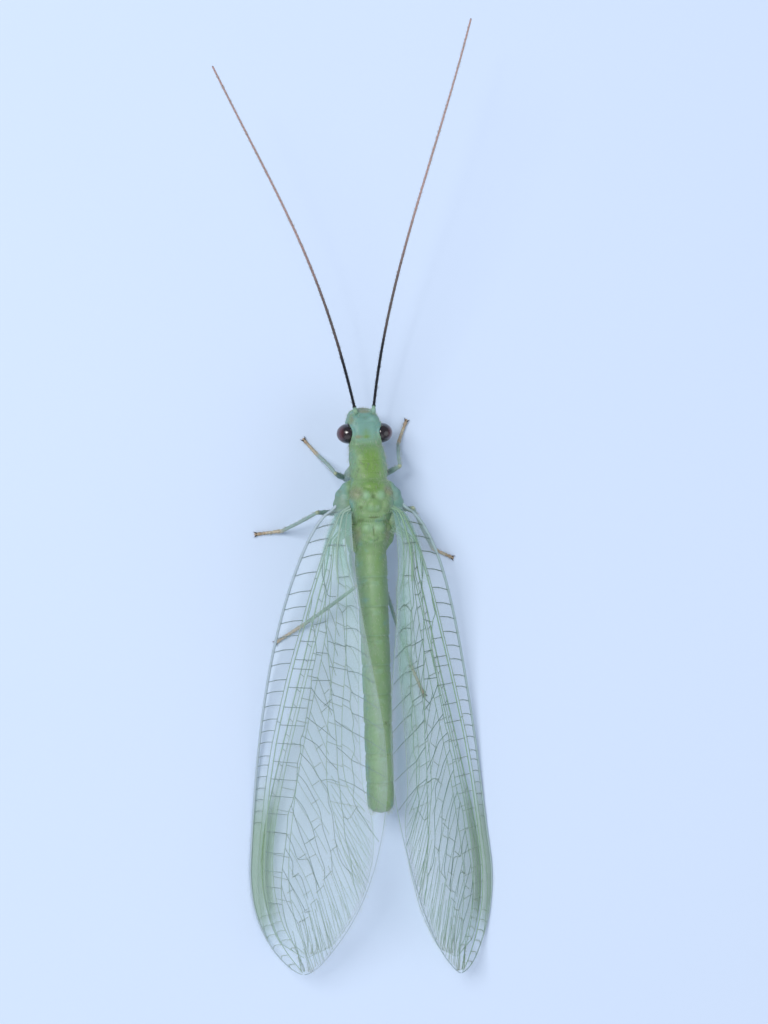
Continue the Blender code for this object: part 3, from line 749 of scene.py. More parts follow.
def abdomen_relief(points, normals, side_rise):
    """The back plates' overlaps, the soft fold along each side and the belly plates."""
    share = segment_share(points[:, 1])
    on = smooth_step(-points[:, 1], -WAIST_Y, -WAIST_Y + 0.25)
    part = share - np.floor(share)
    rear_edge = smooth_step(part, 0.0, 0.10) * (1 - smooth_step(part, 0.955, 1.0))
    swell = 0.020 * rear_edge + 0.012 * np.sin(math.pi * np.clip(part, 0, 1)) + 0.010 * smooth_step(part, 0.6, 0.93)
    fold = -0.045 * np.exp(-((side_rise + 0.16) / 0.07) ** 2) + 0.020 * np.exp(-((side_rise + 0.32) / 0.10) ** 2)
    fold *= 0.55 + 0.45 * np.sin(math.pi * np.clip(part, 0, 1))
    crease = -0.012 * np.exp(-((part - 0.22) / 0.035) ** 2)
    return on * (swell + fold + crease - 0.03)


def body_skin():
    """The whole skin from the tail to the face, with its relief and its marks."""
    places = body_places()
    half_width, half_height, centre, power, keel = read_curve(BODY, places).T
    turn = np.arange(SKIN_SIDES) * 2 * math.pi / SKIN_SIDES
    c, s = np.cos(turn)[None], np.sin(turn)[None]
    crown = CROWN_POWER * np.interp(places, *CROWN)[:, None] * (s > 0)
    root = 2 / (power[:, None] + crown)
    x = half_width[:, None] * np.sign(c) * np.abs(c) ** root
    z = half_height[:, None] * np.sign(s) * np.abs(s) ** root
    x = np.where(s > 0, x * (1 - keel[:, None] * s), x)
    sway = np.interp(places, *SWAY)[:, None]
    rings = np.stack([x + sway, np.broadcast_to(places[:, None], x.shape), centre[:, None] + z], axis=-1)
    along = np.gradient(rings, axis=0)
    around = np.roll(rings, -1, axis=1) - np.roll(rings, 1, axis=1)
    normals = unit(np.cross(along, around)).reshape(-1, 3)
    points = rings.reshape(-1, 3)
    if (normals * (points - np.repeat(rings.mean(axis=1), SKIN_SIDES, axis=0))).sum() < 0:
        normals = -normals
    level = points - np.column_stack([np.repeat(sway[:, 0], SKIN_SIDES), np.zeros(len(points)), np.zeros(len(points))])
    side_rise = (np.broadcast_to(z, x.shape) / half_height[:, None]).ravel()
    rise = abdomen_relief(points, normals, side_rise)
    for view, *row, height in RELIEF:
        reach, weight = oval_reach(view, row, level, normals)
        dome = np.clip(1 - reach ** 2, 0, 1) ** 1.5
        moat = MOAT * np.exp(-((reach - 1.08) / 0.16) ** 2) if height > 0 else 0
        rise = rise + weight * height * (dome - moat)
    eye = np.sqrt((((np.abs(points[:, 0]) - EYE_CENTRE[0]) / EYE_RADII[0]) ** 2)
                  + ((points[:, 1] - EYE_CENTRE[1]) / EYE_RADII[1]) ** 2
                  + ((points[:, 2] - EYE_CENTRE[2]) / EYE_RADII[2]) ** 2)
    rise += 0.028 * np.exp(-((eye - 1.16) / 0.07) ** 2) - 0.03 * np.exp(-((eye - 1.02) / 0.06) ** 2)
    fine = np.minimum(1, (3.0 - points[:, 1]) / 0.15) * np.minimum(1, (points[:, 1] - TAIL_Y) / 0.15)
    raised = points + normals * (rise * np.clip(fine, 0, 1))[:, None]
    marks = {kind: np.zeros(len(points)) for kind in MARK_KINDS}
    for kind, view, *row, strength, both in MARKS:
        reach, weight = oval_reach(view, row, level, normals, both)
        found = strength * weight * smooth_step(-reach, -MARK_EDGE[0], -MARK_EDGE[1])
        marks[kind] = np.maximum(marks[kind], found)
    ends = [[TAIL_POINT], [FACE_POINT]]
    cap = np.zeros(2)
    all_points, faces = loft(raised.reshape(rings.shape), TAIL_POINT, FACE_POINT)
    numbers = {kind: np.concatenate([values, cap]) for kind, values in marks.items()}
    # How deep the skin sinks at each point, kept for the painted shade in its hollows.
    numbers["hollow"] = np.concatenate([np.clip(-rise * 14, 0, 1), cap])
    numbers["part"] = np.concatenate([np.clip(segment_share(points[:, 1]), 0, SEGMENTS), cap])
    numbers["flank"] = np.concatenate([side_rise, cap])
    return all_points, facing_out(all_points, faces), numbers, normals


def body_finish(colours):
    """Leaf-green skin, bluer on the flanks, with the yellow-green band, all the marks and painted shade in the hollows.
    """
    finish = Finish(
        "green_cuticle", Subsurface_Weight=0.18, Subsurface_Radius=(0.6, 1.0, 0.4), Subsurface_Scale=0.00022,
        Specular_IOR_Level=0.42, Coat_Weight=0.0, Sheen_Weight=0.0)
    cloudy = finish.noise(2.3, 4.0)
    speckle = finish.noise(16.0, 3.0)
    flank = finish.stored("flank")
    part = finish.stored("part")
    colour = finish.mix(finish.steps(cloudy + (0.0 - flank) * 0.16, 0.40, 0.72), tuple(colours.green), tuple(colours.teal))
    yellow = finish.steps(flank, 0.80, 0.99) * finish.steps(part, 0.05, 0.3) * finish.steps(cloudy, 0.36, 0.6)
    colour = finish.mix(yellow * 0.42, colour, tuple(colours.stripe))
    within = finish.math("FRACT", part)
    seam = finish.steps(within, 0.93, 0.985) * finish.steps(part, 0.2, 0.4)
    colour = finish.mix(seam * 0.45, colour, tuple(colours.pale))
    spot = finish.steps(flank, 0.93, 0.99) * finish.steps(within, 0.10, 0.16) * (1 - finish.steps(within, 0.24, 0.32))
    colour = finish.mix(spot * finish.steps(part, 0.9, 1.0) * 0.5, colour, tuple(colours.pale))
    blotch = finish.steps(finish.noise(5.0, 2.0), 0.56, 0.68) * finish.steps(part, 0.05, 0.3)
    colour = finish.mix(blotch * 0.30, colour, tuple(colours.stripe))
    colour = finish.mix(finish.steps(part, 0.2, 1.2) * 0.16, colour, paint(152, 178, 168))
    for kind in MARK_KINDS:
        ragged = finish.steps(finish.stored(kind) + (speckle - 0.5) * 0.35, 0.08, 0.95)
        colour = finish.mix(ragged * 0.92, colour, tuple(getattr(colours, kind)))
    # Painted shade: olive darkens the skin where it sinks into furrows, creases and hollows.
    colour = finish.mix(finish.stored("hollow") * 0.55, colour, tuple(colours.olive))
    colour = finish.mix(finish.steps(speckle, 0.60, 0.74) * 0.10, colour, tuple(colours.pale))
    colour = finish.mix(finish.steps(speckle, 0.42, 0.28) * 0.14, colour, tuple(colours.olive))
    grain = finish.noise(46.0, 2.0)
    pebble = finish.cells(34.0)
    finish.set(
        Base_Color=colour,
        Roughness=0.34 + speckle * 0.22,
        Normal=finish.bump(grain * 0.5 + pebble * 0.5, 0.010, 0.55),
    )
    return finish.material


def skin_at(skin, chosen):
    """Places, outward directions and unwrap of chosen points of the skin."""
    points, _, _, normals = skin
    row, column = chosen // SKIN_SIDES, chosen % SKIN_SIDES
    rows = (len(points) - 2) // SKIN_SIDES
    return points[chosen], normals[chosen], np.column_stack([column / SKIN_SIDES, row / rows])


class MakeBody(bpy.types.Operator):
    """Make the skin of head, thorax and abdomen in one piece"""
    bl_idname = "lacewing.body"
    bl_label = "Body skin"

    def execute(self, context):
        points, faces, numbers, _ = body_skin()
        mesh = to_mesh("body_skin", points, faces, numbers)
        rows = (len(points) - 2) // SKIN_SIDES
        unwrap = mesh.uv_layers.new(name="unwrap")
        corners = np.zeros(len(mesh.loops), dtype=np.int32)
        mesh.loops.foreach_get("vertex_index", corners)
        column = (corners % SKIN_SIDES) / SKIN_SIDES
        row = np.minimum(corners // SKIN_SIDES, rows) / rows
        unwrap.data.foreach_set("uv", np.column_stack([column, row]).astype(np.float32).ravel())
        add_piece(
            "body_skin", mesh, body_finish(context.scene.lacewing.body), "thorax",
            "head", "prothorax", "mesothorax", "metathorax", "abdomen_front", "abdomen_middle", "abdomen_rear")
        return {"FINISHED"}


# Eyes

EYE_LEVEL = 7               # fineness of an eye's mesh
FACET_LEVEL = 5             # fineness that sets the facets' middles


def sphere_points(level):
    shape = bmesh.new()
    bmesh.ops.create_icosphere(shape, subdivisions=level, radius=1.0)
    points = np.array([v.co[:] for v in shape.verts])
    faces = [tuple(v.index for v in face.verts) for face in shape.faces]
    shape.free()
    return points, faces


def eye_shapes(rise):
    """Both eyes: each a ball of some thousand domed facets."""
    ways, faces = sphere_points(EYE_LEVEL)
    middles, _ = sphere_points(FACET_LEVEL)
    tree = KDTree(len(middles))
    for index, middle in enumerate(middles):
        tree.insert(middle, index)
    tree.balance()
    found = [tree.find(way) for way in ways]
    apart = np.array([distance for _, _, distance in found])
    tone = np.array([index for _, index, _ in found]) * 0.61803 % 1.0
    dome = 1 - (apart / apart.max()) ** 2
    for side, sign in SIDES.items():
        skin = ways * (np.array(EYE_RADII) - 0.004) + unit(ways / np.array(EYE_RADII)) * (dome * rise)[:, None]
        centre = np.array([sign * EYE_CENTRE[0] + EYE_SHIFT[side], *EYE_CENTRE[1:]])
        outward = ways[:, 0] * sign
        yield side, skin + centre, faces, {"dome": dome, "tone": tone, "outward": outward}


def eye_finish(colours):
    """Dark wine facets under a clear gloss, paler and browner towards the outer rim."""
    finish = Finish(
        "eye_wine", Specular_IOR_Level=0.6, Coat_Roughness=0.06, Coat_IOR=1.45, Coat_Weight=0.6)
    outward = finish.stored("outward")
    cloud = finish.noise(5.0, 3.0)
    rim = finish.steps(outward + (cloud - 0.5) * 0.3, 0.35, 0.80)
    colour = finish.mix(rim * 0.75, tuple(colours.wine), tuple(colours.rim))
    colour = finish.mix(finish.stored("tone") * 0.12, colour, tuple(colours.rim))
    edge = 1 - finish.steps(finish.stored("dome"), 0.05, 0.35)
    colour = finish.mix(edge * 0.55, colour, (0.008, 0.004, 0.005))
    finish.set(Base_Color=colour, Roughness=0.16 + edge * 0.2)
    return finish.material


class MakeEyes(bpy.types.Operator):
    """Make the two faceted eyes"""
    bl_idname = "lacewing.eyes"
    bl_label = "Eyes"

    def execute(self, context):
        settings = context.scene.lacewing.eyes
        finish = eye_finish(settings)
        for side, points, faces, numbers in eye_shapes(settings.facet_rise / MM):
            mesh = to_mesh(f"eye_shell_{side}", points, facing_out(points, faces), numbers)
            add_piece(f"eye_shell_{side}", mesh, finish, "eye", f"eye_{side}")
        return {"FINISHED"}

# Mouthparts

# The block of jaws, upwards: height, half width, half length, y of its middle
JAW_BLOCK = (
    (0.66, 0.13, 0.12, 2.46), (0.72, 0.20, 0.18, 2.46), (0.82, 0.26, 0.24, 2.46), (0.96, 0.29, 0.27, 2.45),
    (1.12, 0.30, 0.28, 2.43),
)
LONG_PALP = ((0.25, 2.50, 0.92), (0.31, 2.62, 0.80), (0.32, 2.70, 0.72), (0.30, 2.72, 0.62), (0.27, 2.70, 0.54))
SHORT_PALP = ((0.12, 2.30, 0.78), (0.15, 2.34, 0.68), (0.15, 2.40, 0.61), (0.13, 2.46, 0.55))


def palp(points, radii, sign):
    """A short jointed feeler of the mouth: a bead for each joint."""
    points = [np.array([sign * x, y, z]) for x, y, z in points]
    for start, end, radius in zip(points, points[1:], radii):
        path = start + (end - start) * np.linspace(0.06, 0.94, 5)[:, None]
        yield tube(path, radius * np.array([0.72, 0.95, 1.05, 1.05, 0.9]), 12)


def mouth_shape():
    """Lip, jaws and palps below the face."""
    rows = np.linspace(JAW_BLOCK[0][0], JAW_BLOCK[-1][0], 22)
    half_width, half_length, middle = read_curve(JAW_BLOCK, rows).T
    turn = np.arange(40) * 2 * math.pi / 40
    waist = 1 - 0.05 * np.cos(rows * 40)
    x = half_width[:, None] * waist[:, None] * np.cos(turn)
    y = middle[:, None] + half_length[:, None] * waist[:, None] * np.sin(turn)
    z = np.broadcast_to(rows[:, None], x.shape)
    points, faces = loft(np.stack([x, y, z], axis=-1), (0, 2.46, 0.63), (0, 2.43, 1.14))
    parts = [(points, facing_out(points, faces), np.full(len(points), 0.5))]
    lip = ball((0.0, 2.74, 0.90), (0.20, 0.075, 0.15))
    parts.append((lip[0], facing_out(lip[0], lip[1]), np.full(len(lip[0]), 0.15)))
    for sign in SIDES.values():
        jaw = tube(
            [(sign * 0.26, 2.56, 1.02), (sign * 0.27, 2.68, 0.90), (sign * 0.20, 2.76, 0.78), (sign * 0.07, 2.78, 0.70)],
            (0.085, 0.085, 0.065, 0.022), 14)
        parts.append((jaw[0], jaw[1], 0.45 + 0.55 * jaw[2]))
        for points, radii in ((LONG_PALP, (0.036, 0.034, 0.034, 0.030)), (SHORT_PALP, (0.030, 0.030, 0.026))):
            for joint in palp(points, radii, sign):
                parts.append((joint[0], joint[1], np.full(len(joint[0]), 0.3)))
    return joined(parts)


def mouth_finish(body, legs):
    """Pinkish amber, darkest at the jaws' points."""
    finish = Finish(
        "mouth_amber", Subsurface_Weight=0.15, Subsurface_Radius=(1.0, 0.6, 0.3), Subsurface_Scale=0.00015,
        Specular_IOR_Level=0.45)
    cloud = finish.noise(9.0, 3.0)
    colour = finish.mix(finish.steps(cloud, 0.4, 0.7), paint(176, 172, 138), paint(158, 148, 118))
    colour = finish.mix(finish.steps(finish.stored("tone"), 0.72, 1.0), colour, paint(82, 48, 34))
    colour = finish.mix(1 - finish.steps(finish.stored("tone"), 0.1, 0.28), colour, tuple(body.pale))
    finish.set(
        Base_Color=colour, Roughness=0.34 + cloud * 0.2, Normal=finish.bump(finish.noise(40.0, 2.0), 0.006, 0.5))
    return finish.material


class MakeMouth(bpy.types.Operator):
    """Make the lip, jaws and palps"""
    bl_idname = "lacewing.mouth"
    bl_label = "Mouthparts"

    def execute(self, context):
        settings = context.scene.lacewing
        points, faces, tone = mouth_shape()
        mesh = to_mesh("jaws_and_palps", points, faces, {"tone": tone})
        add_piece("jaws_and_palps", mesh, mouth_finish(settings.body, settings.legs), "mouth", "mouthparts")
        return {"FINISHED"}


# Feelers

# Four points of one smooth curve for each side, x outwards
FEELER_PATHS = {
    "left": ((0.28, 2.80, 2.10), (1.74, 7.60, 5.10), (3.16, 9.35, 6.30), (5.28, 13.67, 7.00)),
    "right": ((0.30, 2.80, 2.10), (0.60, 7.30, 3.86), (2.07, 10.67, 5.02), (3.42, 15.40, 5.30)),
}
# Along a feeler in millimetres: radius beside the whip's own
FEELER_SWELL = (
    (0.0, 1.2), (0.04, 1.55), (0.10, 1.7), (0.16, 1.5), (0.19, 1.2), (0.205, 1.15), (0.24, 1.42), (0.285, 1.35),
    (0.31, 0.95), (0.34, 0.98), (2.0, 1.0), (6.0, 0.86), (11.5, 0.66),
)
WHIP_START = 0.32           # where the whip's rings begin, in millimetres
DARK_LENGTH = {"left": 2.15, "right": 2.55}
FEELER_SIDES = 14
RING_STEPS = 4


def feeler_path(side):
    """The feeler's middle line, with evenly spaced points, and the distance along it."""
    a, b, c, d = (np.array([SIDES[side] * x, y, z]) for x, y, z in FEELER_PATHS[side])
    u = np.linspace(0, 1, 1500)[:, None]
    v = 1 - u
    line = a * v ** 3 + b * 3 * v ** 2 * u + c * 3 * v * u ** 2 + d * u ** 3
    along = np.concatenate([[0], np.cumsum(np.linalg.norm(np.diff(line, axis=0), axis=1))])
    return line, along


def feeler_shape(side, radius, ring_count):
    """One feeler, ringed all along its whip."""
    line, along = feeler_path(side)
    first = np.linspace(0.0, WHIP_START, 26)
    whip = np.linspace(WHIP_START, along[-1] - 0.03, ring_count * RING_STEPS + 1)[1:]
    wanted = np.concatenate([first, whip])
    path = np.column_stack([np.interp(wanted, along, line[:, k]) for k in range(3)])
    ring = np.concatenate([np.zeros(len(first)), (np.arange(len(whip)) + 1) / RING_STEPS])
    groove = np.where(ring > 0, 1 - 0.16 * np.cos(math.pi * (ring % 1.0)) ** 6, 1.0)
    radii = radius * read_curve(FEELER_SWELL, wanted)[:, 0] * groove
    points, faces, _ = tube(path, radii, FEELER_SIDES)
    own = np.concatenate([[0, 0], wanted, [wanted[-1]] * 2])
    own_ring = np.concatenate([[0, 0], ring, [ring[-1]] * 2])
    distance = np.concatenate([np.repeat(own, FEELER_SIDES), [0, wanted[-1]]])
    rings = np.concatenate([np.repeat(own_ring, FEELER_SIDES), [0, ring[-1]]])
    return points, faces, {"distance": distance - DARK_LENGTH[side], "ring": rings, "whip": distance}


def feeler_finish(colours):
    """Pale first joints, a black stretch, then grey-brown to pinkish tan, with a dark line at each ring."""
    finish = Finish("feeler_whip", Specular_IOR_Level=0.4)
    distance = finish.stored("distance")
    cloud = finish.noise(6.0, 3.0)
    within = finish.math("FRACT", finish.stored("ring"))
    colour = finish.mix(
        finish.steps(distance + (cloud - 0.5) * 0.7, -0.25, 0.75), tuple(colours.dark), tuple(colours.middle))
    colour = finish.mix(finish.steps(distance + (cloud - 0.5) * 1.5, 1.2, 5.2), colour, tuple(colours.tip))
    joint = finish.steps(finish.math("ABSOLUTE", within - 0.5), 0.36, 0.47)
    colour = finish.mix(joint * 0.5, colour, tuple(colours.dark))
    first = 1 - finish.steps(finish.stored("whip"), 0.24, 0.31)
    base = finish.mix(finish.steps(cloud, 0.4, 0.62) * 0.4, tuple(colours.root), paint(138, 168, 120))
    colour = finish.mix(first, colour, base)
    finish.set(
        Base_Color=colour, Roughness=0.42 + cloud * 0.2, Normal=finish.bump(finish.noise(60.0, 2.0), 0.004, 0.6))
    return finish.material


class MakeFeelers(bpy.types.Operator):
    """Make the two long ringed feelers"""
    bl_idname = "lacewing.feelers"
    bl_label = "Feelers"

    def execute(self, context):
        settings = context.scene.lacewing.feelers
        finish = feeler_finish(settings)
        for side in SIDES:
            points, faces, numbers = feeler_shape(side, settings.thick / MM / 2, settings.rings)
            mesh = to_mesh(f"feeler_{side}", points, faces, numbers)
            slot = "feeler_end"
            nodes = [f"antenna_{side}_{part}" for part in ("scape", "base", "end")]
            add_piece(f"feeler_{side}", mesh, finish, slot, *nodes)
        return {"FINISHED"}


# Legs: where each leg leaves the body, its trochanter, knee, heel and claws, x outwards
LEG_JOINTS = {
    ("foreleg", "left"): (
        (0.32, 0.95, 1.95), (0.52, 0.66, 1.12), (1.00, 0.84, 1.84), (1.33, 1.50, 0.25), (1.74, 2.02, 0.07)),
    ("foreleg", "right"): (
        (0.32, 0.95, 1.95), (0.52, 0.66, 1.12), (1.20, 1.02, 1.80), (1.45, 1.80, 0.25), (1.78, 2.56, 0.07)),
    ("midleg", "left"): (
        (0.42, -0.30, 1.40), (0.66, -0.48, 0.86), (1.67, -0.44, 1.90), (2.64, -1.02, 0.25), (3.48, -1.10, 0.07)),
    ("midleg", "right"): (
        (0.42, -0.30, 1.40), (0.66, -0.48, 0.86), (1.58, -0.40, 1.90), (2.52, -1.80, 0.25), (3.20, -2.12, 0.07)),
    ("hindleg", "left"): (
        (0.36, -1.25, 1.48), (0.42, -1.66, 0.92), (0.30, -2.95, 1.18), (2.10, -4.26, 0.25), (2.94, -4.78, 0.07)),
    ("hindleg", "right"): (
        (0.36, -1.25, 1.48), (0.42, -1.66, 0.92), (0.66, -3.05, 1.24), (1.63, -5.75, 0.25), (2.08, -6.78, 0.07)),
}
COXA = ((0.0, 0.20), (0.25, 0.215), (0.6, 0.185), (0.85, 0.14), (1.0, 0.105))   # share and radius
THIGH_SWELL = ((0.0, 0.62), (0.12, 0.86), (0.35, 1.0), (0.62, 0.94), (0.85, 0.72), (0.95, 0.74), (1.0, 0.70))
SHIN_SWELL = ((0.0, 0.86), (0.04, 1.06), (0.10, 0.90), (0.35, 1.0), (0.7, 0.96), (0.93, 1.0), (1.0, 1.12))
FOOT_SHARES = (0.0, 0.33, 0.49, 0.62, 0.73, 0.96)      # the five joints of a foot
FOOT_RADIUS = 0.058
LIMB_SIDES = 16


def bowed(start, end, bow, count):
    """Points from one place to another, with the middle pushed aside."""
    share = np.linspace(0, 1, count)[:, None]
    return start + (end - start) * share + np.asarray(bow) * np.sin(math.pi * share)


def leg_shape(joints, thigh, shin):
    """Coxa, trochanter, femur and tibia with its two spurs. The numbers say how far down the leg a point is."""
    body, ring, knee, heel, toe = joints
    outward = np.sign(knee[0]) * np.array([1.0, 0, 0])
    parts = []
    shares = np.linspace(0, 1, 14)
    points, faces, _ = tube(bowed(body, ring, outward * 0.03, 14), read_curve(COXA, shares)[:, 0], LIMB_SIDES + 4)
    parts.append((points, faces, np.full(len(points), 0.0)))
    bead = ring + unit(knee - ring) * 0.06
    points, faces, _ = tube([ring - unit(ring - body) * 0.0, bead, bead + unit(knee - ring) * 0.07], (0.10, 0.112, 0.085), LIMB_SIDES)
    parts.append((points, faces, np.full(len(points), 0.12)))
    count = 34
    shares = np.linspace(0, 1, count)
    start = ring + unit(knee - ring) * 0.12
    line = bowed(start, knee, outward * 0.03, count)
    points, faces, along = tube(line, read_curve(THIGH_SWELL, shares)[:, 0] * thigh / 2, LIMB_SIDES)
    parts.append((points, faces, 0.2 + 0.3 * along))
    line = bowed(knee, heel, -outward * 0.03 + np.array([0, 0, 0.05]), count)
    points, faces, along = tube(line, read_curve(SHIN_SWELL, shares)[:, 0] * shin / 2, LIMB_SIDES)
    parts.append((points, faces, 0.55 + 0.4 * along))
    way = unit(toe - heel)
    aside = np.cross(way, (0, 0, 1.0))
    for turn in (-1, 1):
        tip = heel + way * 0.17 + aside * 0.06 * turn
        tip[2] = max(tip[2], 0.05)
        points, faces, _ = tube([heel + aside * 0.035 * turn, (heel + tip) / 2 + aside * 0.03 * turn, tip], (0.017, 0.014, 0.005), 8)
        parts.append((points, faces, np.full(len(points), 1.0)))
    return joined(parts)


def foot_line(heel, toe):
    """A foot's line: it comes down from the heel and lies along the floor."""
    share = np.linspace(0, 1, 60)
    line = heel + (toe - heel) * share[:, None]
    line[:, 2] = toe[2] + (heel[2] - toe[2]) * (1 - share) ** 2.2
    return line


def foot_shape(heel, toe):
    """Five joints, each wider at its far end, and the pad between the claws."""
    line = foot_line(heel, toe)
    parts = []
    for index, (low, high) in enumerate(zip(FOOT_SHARES, FOOT_SHARES[1:])):
        at = np.linspace(low + 0.006, high - 0.006, 9)
        path = np.column_stack([np.interp(at, np.linspace(0, 1, 60), line[:, k]) for k in range(3)])
        path[:, 2] = np.maximum(path[:, 2], FOOT_RADIUS + FLOOR_CLEAR)
        swell = np.array([0.62, 0.68, 0.74, 0.79, 0.84, 0.90, 0.96, 1.0, 0.9])
        if index == 4:
            swell = np.array([0.60, 0.64, 0.72, 0.82, 0.92, 1.0, 1.04, 1.0, 0.9])
        points, faces, _ = tube(path, FOOT_RADIUS * swell, 14)
        parts.append((points, faces, np.full(len(points), index / 4)))
    way = unit(toe - heel)
    flat = unit(np.array([way[0], way[1], 0.0]))
    pad = ball(line[-2] + flat * 0.045 + np.array([0, 0, -0.012]), (0.045, 0.055, 0.030), 10, 14)
    parts.append((pad[0], facing_out(pad[0], pad[1]), np.full(len(pad[0]), 0.9)))
    return joined(parts)


def claw_shapes(heel, toe):
    """Two hooks with broad bases."""
    line = foot_line(heel, toe)
    flat = unit(np.array([toe[0] - heel[0], toe[1] - heel[1], 0.0]))
    aside = np.array([-flat[1], flat[0], 0.0])
    base = line[-3]
    for turn in (-1, 1):
        points = [
            base + aside * 0.020 * turn,
            base + flat * 0.05 + aside * 0.050 * turn + np.array([0, 0, 0.018]),
            base + flat * 0.10 + aside * 0.078 * turn + np.array([0, 0, 0.008]),
            base + flat * 0.128 + aside * 0.090 * turn + np.array([0, 0, -0.040]),
        ]
        path = smooth_path(points, 0.012)
        path[:, 2] = np.maximum(path[:, 2], FLOOR_CLEAR + 0.006)
        yield tube(path, np.interp(np.linspace(0, 1, len(path)), (0, 0.3, 1), (0.026, 0.020, 0.004)), 10)


def leg_finish(colours):
    """Pale teal-green, greener at the knees, more amber towards the heel."""
    finish = Finish(
        "leg_green", Subsurface_Weight=0.22, Subsurface_Radius=(0.6, 1.0, 0.6), Subsurface_Scale=0.0001,
        Specular_IOR_Level=0.45)
    down = finish.stored("tone")
    cloud = finish.noise(7.0, 3.0)
    colour = finish.mix(finish.steps(cloud, 0.38, 0.68), tuple(colours.green), paint(136, 164, 156))
    knee = 1 - finish.steps(finish.math("ABSOLUTE", down - 0.52), 0.015, 0.05)
    colour = finish.mix(knee * 0.6, colour, paint(170, 174, 130))
    colour = finish.mix(finish.steps(down, 0.88, 0.97) * 0.8, colour, tuple(colours.amber))
    colour = finish.mix(finish.steps(finish.noise(24.0, 2.0), 0.58, 0.7) * 0.25, colour, paint(180, 196, 178))
    finish.set(
        Base_Color=colour, Roughness=0.36 + cloud * 0.2, Normal=finish.bump(finish.noise(38.0, 2.0), 0.006, 0.6))
    return finish.material


def foot_finish(colours):
    """Amber, darker towards the claws."""
    finish = Finish("tarsus_amber", Specular_IOR_Level=0.45, Subsurface_Weight=0.1, Subsurface_Scale=0.0001)
    cloud = finish.noise(11.0, 3.0)
    colour = finish.mix(finish.steps(cloud, 0.35, 0.7), tuple(colours.amber), paint(176, 162, 136))
    colour = finish.mix(finish.steps(finish.stored("tone"), 0.5, 1.0) * 0.55, colour, paint(148, 118, 92))
    finish.set(
        Base_Color=colour, Roughness=0.4 + cloud * 0.2, Normal=finish.bump(finish.noise(50.0, 2.0), 0.005, 0.7))
    return finish.material


def claw_finish(colours):
    """Hard dark brown, almost black at the points."""
    finish = Finish("claw_horn", Specular_IOR_Level=0.6)
    cloud = finish.noise(20.0, 2.0)
    colour = finish.mix(finish.stored("tone"), tuple(colours.claw), paint(14, 9, 7))
    finish.set(Base_Color=colour, Roughness=0.22 + cloud * 0.2)
    return finish.material


def leg_joints(key):
    sign = SIDES[key[1]]
    return [np.array([sign * x, y, z]) for x, y, z in LEG_JOINTS[key]]


class MakeLegs(bpy.types.Operator):
    """Make the six legs down to their heels, and their feet"""
    bl_idname = "lacewing.legs"
    bl_label = "Legs and feet"

    def execute(self, context):
        settings = context.scene.lacewing.legs
        green, amber = leg_finish(settings), foot_finish(settings)
        for key in LEG_JOINTS:
            name = "_".join(key)
            joints = leg_joints(key)
            points, faces, tone = leg_shape(joints, settings.thigh / MM, settings.shin / MM)
            mesh = to_mesh(f"{name}_limb", points, faces, {"tone": tone})
            add_piece(f"{name}_limb", mesh, green, "leg", *(f"{name}_{part}" for part in ("coxa", "femur", "tibia")))
            points, faces, tone = foot_shape(*joints[3:])
            mesh = to_mesh(f"{name}_foot", points, faces, {"tone": tone})
            add_piece(f"{name}_foot", mesh, amber, "tarsus", f"{name}_tarsus")
        return {"FINISHED"}


class MakeClaws(bpy.types.Operator):
    """Make the claws of all six feet"""
    bl_idname = "lacewing.claws"
    bl_label = "Claws"

    def execute(self, context):
        hooks = [hook for key in LEG_JOINTS for hook in claw_shapes(*leg_joints(key)[3:])]
        points, faces, tone = joined(hooks)
        mesh = to_mesh("claws", points, faces, {"tone": tone})
        add_piece("claws", mesh, claw_finish(context.scene.lacewing.legs), "tarsus")
        return {"FINISHED"}

# Wings. A place on a wing is its share of the span, root to tip, and v, 0 at the front edge to 1 at the rear

WING_ROOT = (1.0, -0.45)
WING_TIP = {"left": (2.56, -15.86), "right": (2.80, -16.12)}
EXTRA_PITCH = {"left": 1.0, "right": 2.7}
FRONT_EDGE_HEIGHT = (
    (0.0, 2.45), (0.1, 2.05), (0.2, 1.45), (0.35, 0.72), (0.55, 0.22), (0.7, 0.04), (0.85, 0.04),
    (0.94, 0.34), (1.0, 1.2),
)
CHORD_PITCH = ((0.0, 32.0), (0.2, 38.5), (0.5, 43.5), (0.75, 46.5), (1.0, 45.0))
FOREWING_LEAD = 2.79
FOREWING_TRAIL = 2.76
LEAD_PEAK = 0.75
TRAIL_PEAK = 0.625
LEAD_POWERS = (0.64, 0.68)
TRAIL_POWERS = (1.5, 0.73)
ROOT_SHARE = 0.14
CAMBER = 0.16
CAMBER_GROWTH = (1.2, 0.7)
HINDWING_EDGES = (
    (0.0, 0.30, 0.10), (0.06, 0.48, 0.32), (0.12, 0.68, 0.66), (0.28, 1.10, 1.06), (0.42, 1.56, 1.24), (0.58, 2.12, 1.60),
    (0.66, 2.38, 2.05), (0.74, 2.52, 2.20), (0.82, 2.42, 2.00), (0.88, 2.14, 1.68), (0.96, 1.46, 0.92),
    (1.0, 0.72, 0.26),
)
HINDWING_SPAN = (0.06, 0.965)
HINDWING_LAYER = -0.27      # the hindwing lies this far under the forewing
ROOT_REACH = 0.05           # shares below 0 run from the wing's root to the thorax
# Where the front and the rear of each wing's root join the thorax
ROOT_LINES = {
    "forewing": ((0.80, 0.06, 2.50), (0.60, -0.56, 2.86)),
    "hindwing": ((0.74, -0.74, 2.36), (0.58, -1.16, 2.62)),
}
MEMBRANE_GRID = {"forewing": (230, 60), "hindwing": (180, 48)}
SPAN_MM = 15.4
CHORD_MM = 5.2


def edge_shape(u, peak, powers):
    rising = ROOT_SHARE + (1 - ROOT_SHARE) * np.sin(math.pi / 2 * (np.maximum(u, 0) / peak) ** powers[0])
    beyond = (u - peak) / (1 - peak)
    return np.where(u < peak, rising, np.maximum(1 - beyond ** 2, 0) ** powers[1])


